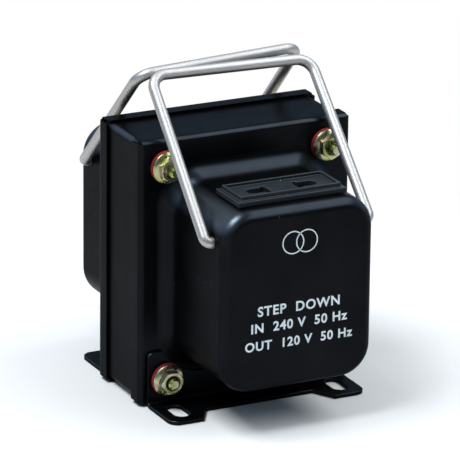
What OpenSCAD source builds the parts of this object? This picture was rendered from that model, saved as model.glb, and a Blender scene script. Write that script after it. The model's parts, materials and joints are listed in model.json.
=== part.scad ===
// Step-down voltage converter: a small transformer between two pressed-steel end bells.
// Millimetres. X runs across the front, the outlet side faces -Y, Z is up.
// The origin is on the surface that the feet stand on, under the middle of the core.

/* [Core] */
// Width of the lamination stack across the front
lam_w = 80; // [76:1:90]
// Height of the lamination stack
lam_h = 96; // [94:1:106]
// Thickness of the lamination stack, front to back
stack = 33; // [28:1:40]
// Width of the outer legs and of the yoke
side_leg = 16; // [15:0.5:17]
// Height of the centre leg
centre_leg = 32; // [28:1:34]
// Clear height under the covers
ground_gap = 0.3; // [0.3:0.1:2]

/* [Covers] */
// Thickness of the cover sheet
sheet_t = 1; // [0.8:0.1:1.4]
// Thickness of the band round the core
band_t = 1; // [0.6:0.1:1.2]
// Depth of the return lips over the band
lip_depth = 7; // [5:0.5:9]
// Outside radius of the bend between flange and lip
bend_r = 2; // [1.6:0.1:2.6]
// How far each lip reaches past the end of the flat flange
lip_over = 0.8; // [0.2:0.1:0.9]
// Width of the bell
bell_w = 60; // [58:0.5:62]
// Height of the bell
bell_h = 68; // [65:0.2:68]
// Depth of the bell in front of the flange
bell_depth = 43; // [40:1:50]
// Radius of the bell's corners seen from the front
bell_corner_r = 12; // [9:0.5:12]
// Radius of the edges round the bell's face
bell_edge_r = 4.4; // [3.4:0.2:6]
// Radius of the hollow fillet at the foot of the bell
bell_fillet_r = 4.6; // [3:0.2:4.8]

/* [Fasteners] */
// Diameter of the tie studs
stud_d = 5; // [4:0.5:5]
// Distance from the bell's side out to the studs' axes, where the handles' legs come to rest
stud_out = 2; // [1.5:0.1:3]
// Length of stud that shows past a nut on the feet
stud_proud = 1; // [0.8:0.1:2.5]
// Width of the nuts across flats
nut_af = 8; // [7:0.5:8.5]
// Height of the nuts
nut_h = 5; // [4:0.2:6]
// Diameter of the nuts' flanges
nut_flange_d = 11.8; // [10:0.2:12]
// Thickness of the nuts' flanges
nut_flange_t = 1.2; // [0.8:0.1:1.6]
// Diameter of the fibre washers
washer_d = 12; // [11.6:0.2:12.2]
// Thickness of the fibre washers
washer_t = 1.6; // [1:0.1:2.2]

/* [Feet] */
// Thickness of the foot sheet
foot_t = 1.5; // [1:0.1:2]
// Inside radius of the foot's bend
foot_bend_r = 1; // [0.6:0.1:1.6]
// Width of each foot over its ears
foot_w = 78.5; // [76:0.5:84]
// Height of the ears round the lower studs
ear_h = 21; // [18.5:0.5:24]
// Reach of the tabs in front of the flange
tab_reach = 21.8; // [19:0.2:26]
// Reach of the strip between the tabs
strip_reach = 13.2; // [8:0.1:14]
// Width of a tab at its front edge
tab_w = 12.6; // [11:0.2:13.4]
// Extra width of a tab where it leaves the strip
tab_flare = 5; // [2:0.5:7]
// Radius of the outer corners
tab_corner_r = 4; // [2:0.5:5]
// Width of the fixing slots
slot_w = 6; // [4.5:0.1:6.4]
// Length of the fixing slots
slot_l = 12; // [8:0.5:12.4]
// Distance from the tab's front edge to the middle of the slot
slot_back = 10.3; // [8.5:0.1:10.4]

/* [Handles] */
// Diameter of the handle wire
wire_d = 4; // [3:0.1:4.1]
// Length of a handle's legs
leg_len = 67; // [60:0.5:76]
// Radius of the handle's top corners, on the wire's centre line
grip_bend_r = 6; // [6:0.5:12]
// Distance from the bell's face back to the pivot
pivot_back = 9; // [7:0.2:10]
// Drop from the bell's top to the pivot
pivot_drop = 12.4; // [12:0.1:15]
// Length of each pivot end inside the cover
pin_in = 5; // [3:0.5:6]
// Gap between a leg and the side of the bell
leg_gap = 0.5; // [0.4:0.05:2]
// Angle by which the wire is sprung out of square
wire_skew = 2.4; // [0:0.1:5]

/* [Outlet] */
// Width of the outlet's plate
outlet_w = 42.6; // [42:0.2:46]
// Depth of the outlet's plate, front to back
outlet_d = 18.2; // [17.6:0.2:19]
// Height of the plate's outer step
outlet_step_h = 2; // [2:0.2:4]
// Width of the plate's outer step
outlet_ledge = 1.5; // [1:0.1:1.8]
// Height of the raised frame on the plate
outlet_frame_h = 1.6; // [1:0.1:2.4]
// Width of the raised frame
outlet_frame_w = 1; // [0.6:0.1:1.4]
// Depth of the face below the frame
outlet_recess = 1.2; // [0.6:0.1:1.8]
// Depth of the outlet's body below the bell's top
outlet_body_h = 17; // [15:0.5:20]
// Distance from the bell's face back to the middle of the outlet
outlet_back = 15; // [13.8:0.1:16]
// Distance between the middles of the two round pin holes
pin_pitch = 19; // [18:0.5:20]
// Height of a pin hole, front to back
pin_hole_d = 5; // [4.8:0.1:5.4]
// Length of a pin hole
pin_hole_l = 8.6; // [8:0.2:9]
// Distance between the middles of the two flat blade slots
blade_pitch = 12.7; // [12.5:0.1:13.4]
// Length of the flat blade slot, front to back
blade_l = 7; // [6.6:0.2:7.6]
// Width of the flat blade slot
blade_w = 2; // [1.6:0.1:2.4]
// Thickness of the contact strip
contact_t = 0.5; // [0.3:0.1:0.6]

/* [Fuse holder] */
// Diameter of the fuse holder's body
holder_d = 12; // [11:0.5:13]
// Length of the fuse holder's body inside the wall
holder_l = 30; // [29:0.5:34]
// Diameter of the fuse holder's rim
holder_rim_d = 15; // [14:0.5:17]
// Thickness of the fuse holder's rim
holder_rim_t = 1.8; // [1.2:0.1:2.2]
// Diameter of the fuse holder's bore
holder_bore_d = 6.4; // [6:0.1:7]
// Width of the fuse holder's nut across flats
holder_nut_af = 16; // [14:0.5:18]
// Thickness of the fuse holder's nut
holder_nut_t = 3; // [2:0.2:4]
// Diameter of the turning cap
cap_d = 11; // [9:0.5:12]
// Height of the turning cap
cap_h = 7.6; // [6:0.2:8.4]
// Length of the cap's stem inside the holder
stem_l = 5; // [4:0.2:6]
// Distance from the bell's face back to the fuse holder and the gland
side_back = 20; // [17:0.5:21]
// Distance from the end of the bell's upper corner down to the fuse holder's axis
holder_below = 14; // [11:0.5:15]
// Length of the fuse
fuse_l = 20; // [19:0.5:21]
// Diameter of the fuse
fuse_d = 5.2; // [4.8:0.1:5.6]

/* [Cord gland] */
// Bore of the cord gland
gland_bore_d = 7; // [6:0.2:7.6]
// Diameter of the gland's neck
gland_neck_d = 10; // [9.4:0.2:11]
// Diameter of the gland's rims
gland_rim_d = 14; // [13:0.5:16]
// Thickness of the gland's outer rim
gland_rim_t = 2; // [1.4:0.2:3]
// Distance from the end of the bell's lower corner up to the gland's axis
gland_above = 8; // [7.5:0.5:10]

/* [Coil] */
// Thickness of the bobbin's walls
bobbin_t = 1.2; // [0.8:0.1:1.6]
// Thickness of the inner winding
inner_build = 5.6; // [4:0.2:6]
// Thickness of the outer winding
outer_build = 4.6; // [3:0.2:5]
// Thickness of the tape round the coil
tape_t = 0.6; // [0.4:0.1:0.8]
// Radius of the innermost layer's corners
coil_corner_r = 2; // [1:0.5:3]
// Diameter of the insulated leads
lead_d = 2.4; // [1.6:0.2:3]

/* [Hidden] */
$fn = 72;

// Clearances
seat_gap = 0.05;
stud_gap = 0.3;
pivot_gap = 0.08;
rest_gap = 0.3;
fillet_gap = 0.4;
cutout_gap = 0.2;
stem_gap = 0.08;
coil_gap = 0.3;
contact_gap = 0.1;
cut_over = 1;

// Covers and core
wrap = 2 * seat_gap + band_t + sheet_t;
cover_w = lam_w + 2 * wrap;
cover_h = lam_h + 2 * wrap;
mid_z = ground_gap + cover_h / 2;
flange_y = stack / 2 + sheet_t;
face_y = flange_y + bell_depth;
bell_top = mid_z + bell_h / 2;
stud_x = bell_w / 2 + stud_out;
stud_dz = (lam_h - side_leg) / 2;
stud_hole_d = stud_d + 2 * stud_gap;
window_w = lam_w - 2 * side_leg;
window_top = lam_h / 2 - side_leg;

// Fasteners
foot_stack = foot_t + washer_t + nut_h;
stud_reach = flange_y + foot_stack + stud_proud;
stud_chamfer = stud_d / 8;

// Handles
pivot_y = face_y - pivot_back;
pivot_z = bell_top - pivot_drop;
leg_x = bell_w / 2 + leg_gap + wire_d / 2;
pin_bend_r = leg_x - bell_w / 2 - 2 * seat_gap;
wire_sides = 16;
bend_steps = 8;
pin_end_x = bell_w / 2 - sheet_t - pin_in;
stud_top_z = mid_z + stud_dz + stud_d / 2;
cover_top_z = mid_z + cover_h / 2;
rest_on_stud = rest_angle(pivot_y - stud_reach, stud_top_z - pivot_z);
rest_on_cover = rest_angle(pivot_y - flange_y, cover_top_z - pivot_z);
clear_of_other = acos(min(1, (pivot_y - wire_d / 2 - rest_gap) / leg_len));
low_leg = max(rest_on_stud, rest_on_cover, clear_of_other);
high_leg = low_leg + wire_skew;

// Outlet
outlet_y = face_y - outlet_back;
outlet_face_z = bell_top + outlet_step_h + outlet_frame_h - outlet_recess;
frame_w = outlet_w - 2 * outlet_ledge;
frame_d = outlet_d - 2 * outlet_ledge;
neck_w = frame_w - 2 * outlet_frame_w;
neck_d = frame_d - 2 * outlet_frame_w;
pin_hole_x = pin_pitch / 2;
blade_x = blade_pitch / 2;
face_skin = 2;
pocket_w = pin_hole_l + 2 * contact_t + 2 * contact_gap;
pocket_d = blade_l + 2 * contact_t + 2 * contact_gap;
pocket_top = outlet_face_z - face_skin;
outlet_base_z = bell_top - outlet_body_h;
contact_h = pocket_top - outlet_base_z - contact_gap;
tail_h = 8;

// Coil, wound round the centre leg, with its axis along X
tube_y = stack / 2 + coil_gap;
tube_z = centre_leg / 2 + coil_gap;
inner_0 = bobbin_t + seat_gap;
inner_1 = inner_0 + inner_build;
outer_0 = inner_1 + seat_gap;
outer_1 = outer_0 + outer_build;
tape_0 = outer_1 + seat_gap;
tape_1 = tape_0 + tape_t;
flange_over = tape_1 + seat_gap;
coil_face_y = tube_y + tape_1;
coil_l = window_w - 2 * coil_gap - 2 * bobbin_t;

// Fuse holder and gland, on the right side of the rear bell
wall_x = bell_w / 2;
side_mid_y = face_y - side_back;
holder_z = bell_top - bell_corner_r - holder_below;
gland_z = mid_z - bell_h / 2 + bell_corner_r + gland_above;
holder_end_x = wall_x - sheet_t - holder_l;
cap_x = wall_x + holder_rim_t + seat_gap;
fuse_x1 = cap_x - seat_gap - stem_l;
fuse_x0 = fuse_x1 - fuse_l;
fuse_cup_l = fuse_l / 4;
fuse_cup_t = 0.3;
terminal_d = 3;
terminal_out = 6;

// Angle above the horizontal of a leg that lies on a point at this distance in and up
function rest_angle(in, up) =
  atan2(up, in) + asin((wire_d / 2 + rest_gap) / norm([in, up]));

function unit(v) = v / norm(v);

// Points and directions along a rounded corner of a path
function corner_line(a, b, c, bend) =
  let(
    d1 = unit(b - a),
    d2 = unit(c - b),
    angle = acos(d1 * d2),
    inward = unit(d2 - (d1 * d2) * d1),
    hub = b - d1 * bend * tan(angle / 2) + inward * bend
  )
  [for (k = [0 : bend_steps])
    let(t = angle * k / bend_steps)
    [hub + bend * (sin(t) * d1 - cos(t) * inward), cos(t) * d1 + sin(t) * inward]];

// Points and directions along a path whose corners are rounded to these radii
function wire_line(path, radii) =
  let(last = len(path) - 1)
  concat(
    [[path[0], unit(path[1] - path[0])]],
    [for (i = [1 : last - 1]) each corner_line(path[i - 1], path[i], path[i + 1], radii[i])],
    [[path[last], unit(path[last] - path[last - 1])]]
  );

// Side direction at each point of a line, carried along without twist
function carried_sides(line, first) =
  [for (
      k = 0, side = first;
      k < len(line);
      k = k + 1, side = k < len(line) ? unit(side - (side * line[k][1]) * line[k][1]) : side
    ) side];

// Round wire along a path, as one closed surface
module swept_wire(path, radii, r, first_side) {
  line = wire_line(path, radii);
  sides = carried_sides(line, first_side);
  rings = len(line);
  points = [for (k = [0 : rings - 1], j = [0 : wire_sides - 1])
    let(a = 360 * j / wire_sides)
    line[k][0] + r * (cos(a) * sides[k] + sin(a) * cross(line[k][1], sides[k]))];
  skin = [for (k = [0 : rings - 2], j = [0 : wire_sides - 1])
    let(
      p = k * wire_sides + j,
      q = k * wire_sides + (j + 1) % wire_sides
    )
    each [[p, p + wire_sides, q], [q, p + wire_sides, q + wire_sides]]];
  first_end = [for (j = [0 : wire_sides - 1]) j];
  last_end = [for (j = [wire_sides - 1 : -1 : 0]) (rings - 1) * wire_sides + j];
  polyhedron(points, concat(skin, [first_end, last_end]));
}

module rounded_square(w, h, r) {
  square([w - 2 * r, h], center = true);
  square([w, h - 2 * r], center = true);
  for (x = [-1, 1], y = [-1, 1])
    translate([x * (w / 2 - r), y * (h / 2 - r)])
      circle(r = r);
}

module slot_outline(w, l) {
  square([w, l - w], center = true);
  for (s = [-1, 1])
    translate([0, s * (l - w) / 2])
      circle(d = w);
}

// Copies at the four studs, seen from the front
module at_studs() {
  for (x = [-1, 1], z = [-1, 1])
    translate([x * stud_x, 0, mid_z + z * stud_dz])
      children();
}

// Turns a piece modelled at the front to the same place at the rear
module at_rear() {
  rotate([0, 0, 180])
    children();
}

// Section of the bell's wall: r is the corner radius, the foot fillet stands outside it
module bell_section(depth, r, edge, fillet) {
  square([r - edge, depth]);
  square([r, depth - edge]);
  translate([r - edge, depth - edge])
    circle(r = edge);
  difference() {
    square([r + fillet, fillet]);
    translate([r + fillet, fillet])
      circle(r = fillet);
  }
}

// Bell as a solid, standing on z = 0
module bell_solid(w, h, depth, r, edge, fillet) {
  span_x = w - 2 * r;
  span_y = h - 2 * r;
  translate([-span_x / 2, -span_y / 2, 0])
    cube([span_x, span_y, depth]);
  for (side = [[0, span_x, span_y], [90, span_y, span_x], [180, span_x, span_y], [270, span_y, span_x]])
    rotate([0, 0, side[0]]) {
      translate([side[1] / 2, side[2] / 2, 0]) {
        rotate([90, 0, 0])
          linear_extrude(side[2])
            bell_section(depth, r, edge, fillet);
        rotate_extrude(angle = 90)
          bell_section(depth, r, edge, fillet);
      }
    }
}

// Bend and lip along one side of the flange
module lip(offset, length) {
  translate([offset, length / 2, 0])
    rotate([90, 0, 0])
      linear_extrude(length) {
        intersection() {
          translate([0, -bend_r])
            difference() {
              circle(r = bend_r);
              circle(r = bend_r - sheet_t);
            }
          translate([0, -bend_r])
            square(bend_r);
        }
        translate([bend_r - sheet_t, -lip_depth])
          square([sheet_t, lip_depth - bend_r]);
      }
}

// End bell with flange and lips, in its place at the front
module end_bell() {
  flat_w = cover_w - 2 * bend_r;
  flat_h = cover_h - 2 * bend_r;
  translate([0, -flange_y, mid_z])
    rotate([90, 0, 0]) {
      difference() {
        union() {
          translate([-flat_w / 2, -flat_h / 2, -sheet_t])
            cube([flat_w, flat_h, sheet_t]);
          bell_solid(bell_w, bell_h, bell_depth, bell_corner_r, bell_edge_r, bell_fillet_r);
        }
        translate([0, 0, -sheet_t])
          bell_solid(bell_w - 2 * sheet_t, bell_h - 2 * sheet_t, bell_depth, bell_corner_r - sheet_t,
            bell_edge_r - sheet_t, bell_fillet_r + sheet_t);
      }
      for (side = [[0, flat_w, flat_h], [90, flat_h, flat_w], [180, flat_w, flat_h], [270, flat_h, flat_w]])
        rotate([0, 0, side[0]])
          lip(side[1] / 2, side[2] + 2 * lip_over);
    }
}

// Holes that both covers have
module cover_holes() {
  at_studs()
    translate([0, -flange_y + sheet_t + cut_over, 0])
      rotate([90, 0, 0])
        cylinder(h = sheet_t + 2 * cut_over, d = stud_hole_d);
  for (s = [-1, 1])
    translate([s * (wall_x - sheet_t / 2), -pivot_y, pivot_z])
      rotate([0, 90, 0])
        cylinder(h = sheet_t + 2 * cut_over, d = wire_d + 2 * pivot_gap, center = true);
}

module front_cover() {
  color([0.1, 0.11, 0.12])
    difference() {
      end_bell();
      cover_holes();
      translate([0, -outlet_y, bell_top - sheet_t - cut_over])
        linear_extrude(sheet_t + 2 * cut_over)
          square([neck_w + 2 * cutout_gap, neck_d + 2 * cutout_gap], center = true);
    }
}

module rear_cover() {
  color([0.1, 0.11, 0.12])
    difference() {
      at_rear()
        end_bell();
      at_rear()
        cover_holes();
      for (hole = [[holder_z, holder_d + 2 * seat_gap], [gland_z, gland_neck_d + 2 * seat_gap]])
        translate([wall_x - sheet_t / 2, side_mid_y, hole[0]])
          rotate([0, 90, 0])
            cylinder(h = sheet_t + 2 * cut_over, d = hole[1], center = true);
    }
}

module core_band() {
  band_w = cover_w - 2 * sheet_t - 2 * seat_gap;
  band_h = cover_h - 2 * sheet_t - 2 * seat_gap;
  band_l = 2 * (flange_y - bend_r - seat_gap);
  color([0.11, 0.12, 0.13])
    translate([0, band_l / 2, mid_z])
      rotate([90, 0, 0])
        linear_extrude(band_l)
          difference() {
            rounded_square(band_w, band_h, bend_r);
            square([band_w - 2 * band_t, band_h - 2 * band_t], center = true);
          }
}

// Sheet stack from a flat outline, as thick as the core
module lamination_stack() {
  translate([0, stack / 2, mid_z])
    rotate([90, 0, 0])
      linear_extrude(stack)
        difference() {
          children();
          for (x = [-1, 1], z = [-1, 1])
            translate([x * stud_x, z * stud_dz])
              circle(d = stud_hole_d);
        }
}

module e_laminations() {
  color([0.45, 0.46, 0.48])
    lamination_stack()
      difference() {
        translate([-lam_w / 2, -lam_h / 2])
          square([lam_w - side_leg, lam_h]);
        for (s = [0, 1])
          mirror([0, s])
            translate([-window_w / 2, centre_leg / 2])
              square([window_w + cut_over, window_top - centre_leg / 2]);
      }
}

module i_laminations() {
  color([0.45, 0.46, 0.48])
    lamination_stack()
      translate([window_w / 2, -lam_h / 2])
        square([side_leg, lam_h]);
}

// Ring round the centre leg, from one thickness to another, along X
module coil_ring(inside, outside, length) {
  translate([-length / 2, 0, mid_z])
    rotate([90, 0, 90])
      linear_extrude(length)
        difference() {
          rounded_square(2 * (tube_y + outside), 2 * (tube_z + outside), coil_corner_r + outside);
          if (inside > 0)
            rounded_square(2 * (tube_y + inside), 2 * (tube_z + inside), coil_corner_r + inside);
          else
            square([2 * tube_y, 2 * tube_z], center = true);
        }
}

module bobbin() {
  color([0.9, 0.88, 0.8]) {
    coil_ring(0, bobbin_t, coil_l);
    for (s = [-1, 1])
      translate([s * (coil_l + bobbin_t) / 2, 0, 0])
        coil_ring(0, flange_over, bobbin_t);
  }
}

module inner_winding() {
  color([0.72, 0.38, 0.16])
    coil_ring(inner_0, inner_1, coil_l - 2 * seat_gap);
}

module outer_winding() {
  color([0.76, 0.42, 0.2])
    coil_ring(outer_0, outer_1, coil_l - 2 * seat_gap);
}

module coil_tape() {
  color([0.86, 0.72, 0.2])
    coil_ring(tape_0, tape_1, coil_l - 2 * seat_gap);
}

module tie_studs() {
  color([0.78, 0.7, 0.42])
    at_studs()
      rotate([90, 0, 0]) {
        cylinder(h = 2 * (stud_reach - stud_chamfer), d = stud_d, center = true);
        for (s = [0, 1])
          mirror([0, 0, s])
            translate([0, 0, stud_reach - stud_chamfer])
              cylinder(h = stud_chamfer, d1 = stud_d, d2 = stud_d - 2 * stud_chamfer);
      }
}

// Distance from the flange to what lies under a washer: the lower ones lie on a foot
function under_washer(z) = z < 0 ? foot_t : 0;

module flange_nut() {
  difference() {
    union() {
      cylinder(h = nut_flange_t, d1 = nut_flange_d, d2 = nut_flange_d - nut_flange_t / 2);
      cylinder(h = nut_h, d = nut_af / cos(30), $fn = 6);
    }
    translate([0, 0, -cut_over])
      cylinder(h = nut_h + 2 * cut_over, d = stud_d + 2 * pivot_gap);
  }
}

module fibre_washer() {
  difference() {
    cylinder(h = washer_t, d = washer_d);
    translate([0, 0, -cut_over])
      cylinder(h = washer_t + 2 * cut_over, d = stud_d + 2 * pivot_gap);
  }
}

// Copies at the studs, standing on the flange or on a foot, out to the front
module on_flange(lift) {
  for (x = [-1, 1], z = [-1, 1])
    translate([x * stud_x, -flange_y - under_washer(z) - lift, mid_z + z * stud_dz])
      rotate([90, 0, 0])
        children();
}

module nut_set() {
  color([0.8, 0.74, 0.48])
    on_flange(washer_t)
      flange_nut();
}

module washer_set() {
  color([0.72, 0.1, 0.12])
    on_flange(0)
      fibre_washer();
}

module front_nuts() {
  nut_set();
}

module rear_nuts() {
  at_rear()
    nut_set();
}

module front_washers() {
  washer_set();
}

module rear_washers() {
  at_rear()
    washer_set();
}

// Square with its two upper corners rounded
module round_topped(w, low, high, r) {
  translate([-w / 2, low])
    square([w, high - r - low]);
  translate([-w / 2 + r, low])
    square([w - 2 * r, high - low]);
  for (s = [-1, 1])
    translate([s * (w / 2 - r), high - r])
      circle(r = r);
}

// Upright plate of a foot, seen from the front
module foot_plate_outline() {
  difference() {
    round_topped(foot_w, foot_t + foot_bend_r, ear_h, tab_corner_r / 2);
    translate([0, mid_z])
      rounded_square(bell_w + 2 * (bell_fillet_r + fillet_gap), bell_h + 2 * (bell_fillet_r + fillet_gap),
        bell_corner_r + bell_fillet_r + fillet_gap);
    for (x = [-1, 1])
      translate([x * stud_x, mid_z - stud_dz])
        circle(d = stud_hole_d);
  }
}

// Level leg of a foot, seen from above, with its front edge towards +Y
module foot_leg_outline() {
  start = foot_t + foot_bend_r;
  difference() {
    round_topped(foot_w, start, tab_reach, tab_corner_r);
    polygon([
      [-foot_w / 2 + tab_w, tab_reach + cut_over],
      [-foot_w / 2 + tab_w, tab_reach],
      [-foot_w / 2 + tab_w + tab_flare, strip_reach],
      [foot_w / 2 - tab_w - tab_flare, strip_reach],
      [foot_w / 2 - tab_w, tab_reach],
      [foot_w / 2 - tab_w, tab_reach + cut_over]
    ]);
    for (x = [-1, 1])
      translate([x * stud_x, tab_reach - slot_back])
        slot_outline(slot_w, slot_l);
  }
}

module foot() {
  outer_r = foot_bend_r + foot_t;
  color([0.12, 0.13, 0.14])
    translate([0, -flange_y, 0]) {
      rotate([90, 0, 0])
        linear_extrude(foot_t)
          foot_plate_outline();
      mirror([0, 1, 0])
        linear_extrude(foot_t)
          foot_leg_outline();
      translate([-foot_w / 2, -outer_r, outer_r])
        rotate([90, 0, 90])
          linear_extrude(foot_w)
            intersection() {
              difference() {
                circle(r = outer_r);
                circle(r = foot_bend_r);
              }
              translate([0, -outer_r])
                square(outer_r);
            }
    }
}

module front_foot() {
  foot();
}

module rear_foot() {
  at_rear()
    foot();
}

// Wire bail in its place at the front, lying on the stud ends
module handle() {
  high = [0, leg_len * cos(high_leg), leg_len * sin(high_leg)];
  low = [0, leg_len * cos(low_leg), leg_len * sin(low_leg)];
  left = [-leg_x, -pivot_y, pivot_z];
  right = [leg_x, -pivot_y, pivot_z];
  outside = [wall_x + seat_gap, 0, 0];
  path = [
    [-outside.x, -pivot_y, pivot_z], left, left + high,
    right + low, right, [outside.x, -pivot_y, pivot_z]
  ];
  radii = [0, pin_bend_r, grip_bend_r, grip_bend_r, pin_bend_r, 0];
  color([0.78, 0.79, 0.8]) {
    swept_wire(path, radii, wire_d / 2 / cos(180 / wire_sides) + seat_gap / 2, [0, 0, 1]);
    for (s = [-1, 1])
      translate([s * (pin_end_x + outside.x) / 2, -pivot_y, pivot_z])
        rotate([0, 90, 0])
          cylinder(h = outside.x - pin_end_x, d = wire_d, center = true);
  }
}

module front_handle() {
  handle();
}

module rear_handle() {
  at_rear()
    handle();
}

// One pin hole, joined to its flat slot, with the middle of the outlet towards -X
module pin_hole_outline() {
  rounded_square(pin_hole_l, pin_hole_d, pin_hole_d / 2 - seat_gap);
  translate([blade_x - pin_hole_x, 0])
    square([blade_w, blade_l], center = true);
}

module outlet_body() {
  color([0.07, 0.075, 0.08])
    translate([0, -outlet_y, 0])
      difference() {
        union() {
          translate([0, 0, bell_top])
            linear_extrude(outlet_step_h)
              square([outlet_w, outlet_d], center = true);
          translate([0, 0, bell_top + outlet_step_h])
            linear_extrude(outlet_frame_h)
              square([frame_w, frame_d], center = true);
          translate([0, 0, outlet_base_z])
            linear_extrude(outlet_body_h)
              square([neck_w, neck_d], center = true);
        }
        translate([0, 0, outlet_face_z])
          linear_extrude(outlet_recess + cut_over)
            square([neck_w, neck_d], center = true);
        for (s = [0, 1])
          mirror([s, 0, 0])
            translate([pin_hole_x, 0, 0]) {
              translate([0, 0, pocket_top - cut_over])
                linear_extrude(face_skin + 2 * cut_over)
                  pin_hole_outline();
              translate([0, 0, outlet_base_z - cut_over])
                linear_extrude(pocket_top - outlet_base_z + cut_over)
                  square([pocket_w, pocket_d], center = true);
            }
      }
}

// Spring clip in one pocket: base, two side leaves, inner leaf and tail
module contact() {
  w = pocket_w - 2 * contact_gap;
  d = pocket_d - 2 * contact_gap;
  translate([-w / 2, -d / 2, outlet_base_z])
    cube([w, d, contact_t]);
  for (s = [0, 1])
    mirror([0, s, 0])
      translate([-w / 2, d / 2 - contact_t, outlet_base_z])
        cube([w, contact_t, contact_h]);
  translate([-w / 2, -d / 2, outlet_base_z])
    cube([contact_t, d, contact_h]);
  translate([-lead_d / 2, -lead_d / 2, outlet_base_z - tail_h])
    cube([lead_d, lead_d, tail_h]);
}

module outlet_contacts() {
  color([0.82, 0.68, 0.3])
    for (s = [0, 1])
      mirror([s, 0, 0])
        translate([pin_hole_x, -outlet_y, 0])
          contact();
}

module outlet_leads() {
  start_y = outlet_y - lead_d / 2;
  color([0.75, 0.12, 0.1])
    for (s = [-1, 1])
      translate([s * pin_hole_x, -coil_face_y, outlet_base_z - tail_h + lead_d])
        rotate([90, 0, 0])
          cylinder(h = start_y - coil_face_y, d = lead_d);
}

// Piece of the fuse holder that lies along X, from one place to another
module along_x(x0, x1, d) {
  translate([x0, side_mid_y, holder_z])
    rotate([0, 90, 0])
      cylinder(h = x1 - x0, d = d);
}

module fuse_holder() {
  color([0.08, 0.08, 0.09])
    difference() {
      union() {
        along_x(holder_end_x, wall_x + seat_gap, holder_d);
        along_x(wall_x, wall_x + holder_rim_t, holder_rim_d);
      }
      along_x(fuse_x0, wall_x + holder_rim_t + cut_over, holder_bore_d);
      along_x(holder_end_x - cut_over, fuse_x0 + cut_over, terminal_d + 2 * seat_gap);
    }
}

module fuse_holder_nut() {
  color([0.1, 0.1, 0.11])
    translate([wall_x - sheet_t - holder_nut_t, side_mid_y, holder_z])
      rotate([0, 90, 0])
        difference() {
          cylinder(h = holder_nut_t, d = holder_nut_af / cos(30), $fn = 6);
          translate([0, 0, -cut_over])
            cylinder(h = holder_nut_t + 2 * cut_over, d = holder_d + 2 * seat_gap);
        }
}

module fuse_terminal() {
  color([0.8, 0.7, 0.35])
    along_x(holder_end_x - terminal_out, fuse_x0, terminal_d);
}

module fuse_lead() {
  start_y = side_mid_y - terminal_d / 2 - contact_gap;
  color([0.15, 0.15, 0.16])
    translate([holder_end_x - terminal_out / 2, start_y, holder_z])
      rotate([90, 0, 0])
        cylinder(h = start_y - coil_face_y, d = lead_d);
}

module fuse_cap() {
  color([0.07, 0.07, 0.08]) {
    along_x(cap_x, cap_x + cap_h, cap_d);
    along_x(fuse_x1, cap_x, holder_bore_d - 2 * stem_gap);
  }
}

module fuse_glass() {
  color([0.8, 0.9, 0.9])
    along_x(fuse_x0 + fuse_cup_t, fuse_x1 - fuse_cup_t, fuse_d - 2 * fuse_cup_t);
}

module fuse_end_caps() {
  color([0.8, 0.8, 0.78])
    difference() {
      union() {
        along_x(fuse_x0, fuse_x0 + fuse_cup_l, fuse_d);
        along_x(fuse_x1 - fuse_cup_l, fuse_x1, fuse_d);
      }
      along_x(fuse_x0 + fuse_cup_t, fuse_x1 - fuse_cup_t, fuse_d - 2 * fuse_cup_t);
    }
}

module cord_gland() {
  inner_rim_t = gland_rim_t / 2;
  inner_x = wall_x - sheet_t - inner_rim_t;
  color([0.06, 0.06, 0.065])
    translate([inner_x, side_mid_y, gland_z])
      rotate([0, 90, 0])
        difference() {
          union() {
            cylinder(h = inner_rim_t, d = gland_neck_d + inner_rim_t);
            cylinder(h = wall_x - inner_x + seat_gap, d = gland_neck_d);
            translate([0, 0, wall_x - inner_x])
              cylinder(h = gland_rim_t, d1 = gland_rim_d, d2 = gland_rim_d - gland_rim_t);
          }
          translate([0, 0, -cut_over])
            cylinder(h = wall_x - inner_x + gland_rim_t + 2 * cut_over, d = gland_bore_d);
        }
}

core_band();
e_laminations();
i_laminations();
bobbin();
inner_winding();
outer_winding();
coil_tape();
front_cover();
rear_cover();
tie_studs();
front_nuts();
rear_nuts();
front_washers();
rear_washers();
front_foot();
rear_foot();
front_handle();
rear_handle();
outlet_body();
outlet_contacts();
outlet_leads();
fuse_holder();
fuse_holder_nut();
fuse_terminal();
fuse_lead();
fuse_cap();
fuse_glass();
fuse_end_caps();
cord_gland();
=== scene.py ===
"""Dressed model of a small step-down voltage converter.

A transformer core is wrapped in a steel band and clamped between two pressed end bells by four
studs. Two wire bails swing over the top, an outlet sits on the front bell, and a fuse holder and a
cord gland sit in the side of the rear bell. Lengths are metres, in the frame's own axes.
"""

import json
import logging
import math
from contextlib import contextmanager
from dataclasses import dataclass
from enum import Enum
from typing import Callable, Iterator, Sequence

import bmesh
import bpy
from mathutils import Euler, Matrix, Vector


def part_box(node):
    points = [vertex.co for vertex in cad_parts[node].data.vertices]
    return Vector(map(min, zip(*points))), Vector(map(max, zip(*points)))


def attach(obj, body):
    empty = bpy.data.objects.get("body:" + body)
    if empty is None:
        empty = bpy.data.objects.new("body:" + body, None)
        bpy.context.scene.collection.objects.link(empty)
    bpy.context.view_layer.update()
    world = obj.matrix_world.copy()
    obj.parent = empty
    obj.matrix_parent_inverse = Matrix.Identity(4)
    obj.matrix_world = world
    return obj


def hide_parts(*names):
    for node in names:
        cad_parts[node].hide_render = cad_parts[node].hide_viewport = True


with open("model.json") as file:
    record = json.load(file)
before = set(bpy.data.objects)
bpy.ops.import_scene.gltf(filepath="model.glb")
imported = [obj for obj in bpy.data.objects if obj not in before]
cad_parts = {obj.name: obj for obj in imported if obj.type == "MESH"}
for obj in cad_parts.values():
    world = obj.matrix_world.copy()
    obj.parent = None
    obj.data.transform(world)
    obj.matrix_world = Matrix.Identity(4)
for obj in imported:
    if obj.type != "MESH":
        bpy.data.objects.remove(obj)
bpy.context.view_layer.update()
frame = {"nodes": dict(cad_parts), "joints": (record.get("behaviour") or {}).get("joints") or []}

MM = 0.001
# Distance below which two places count as one
EPS = 0.00001
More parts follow.
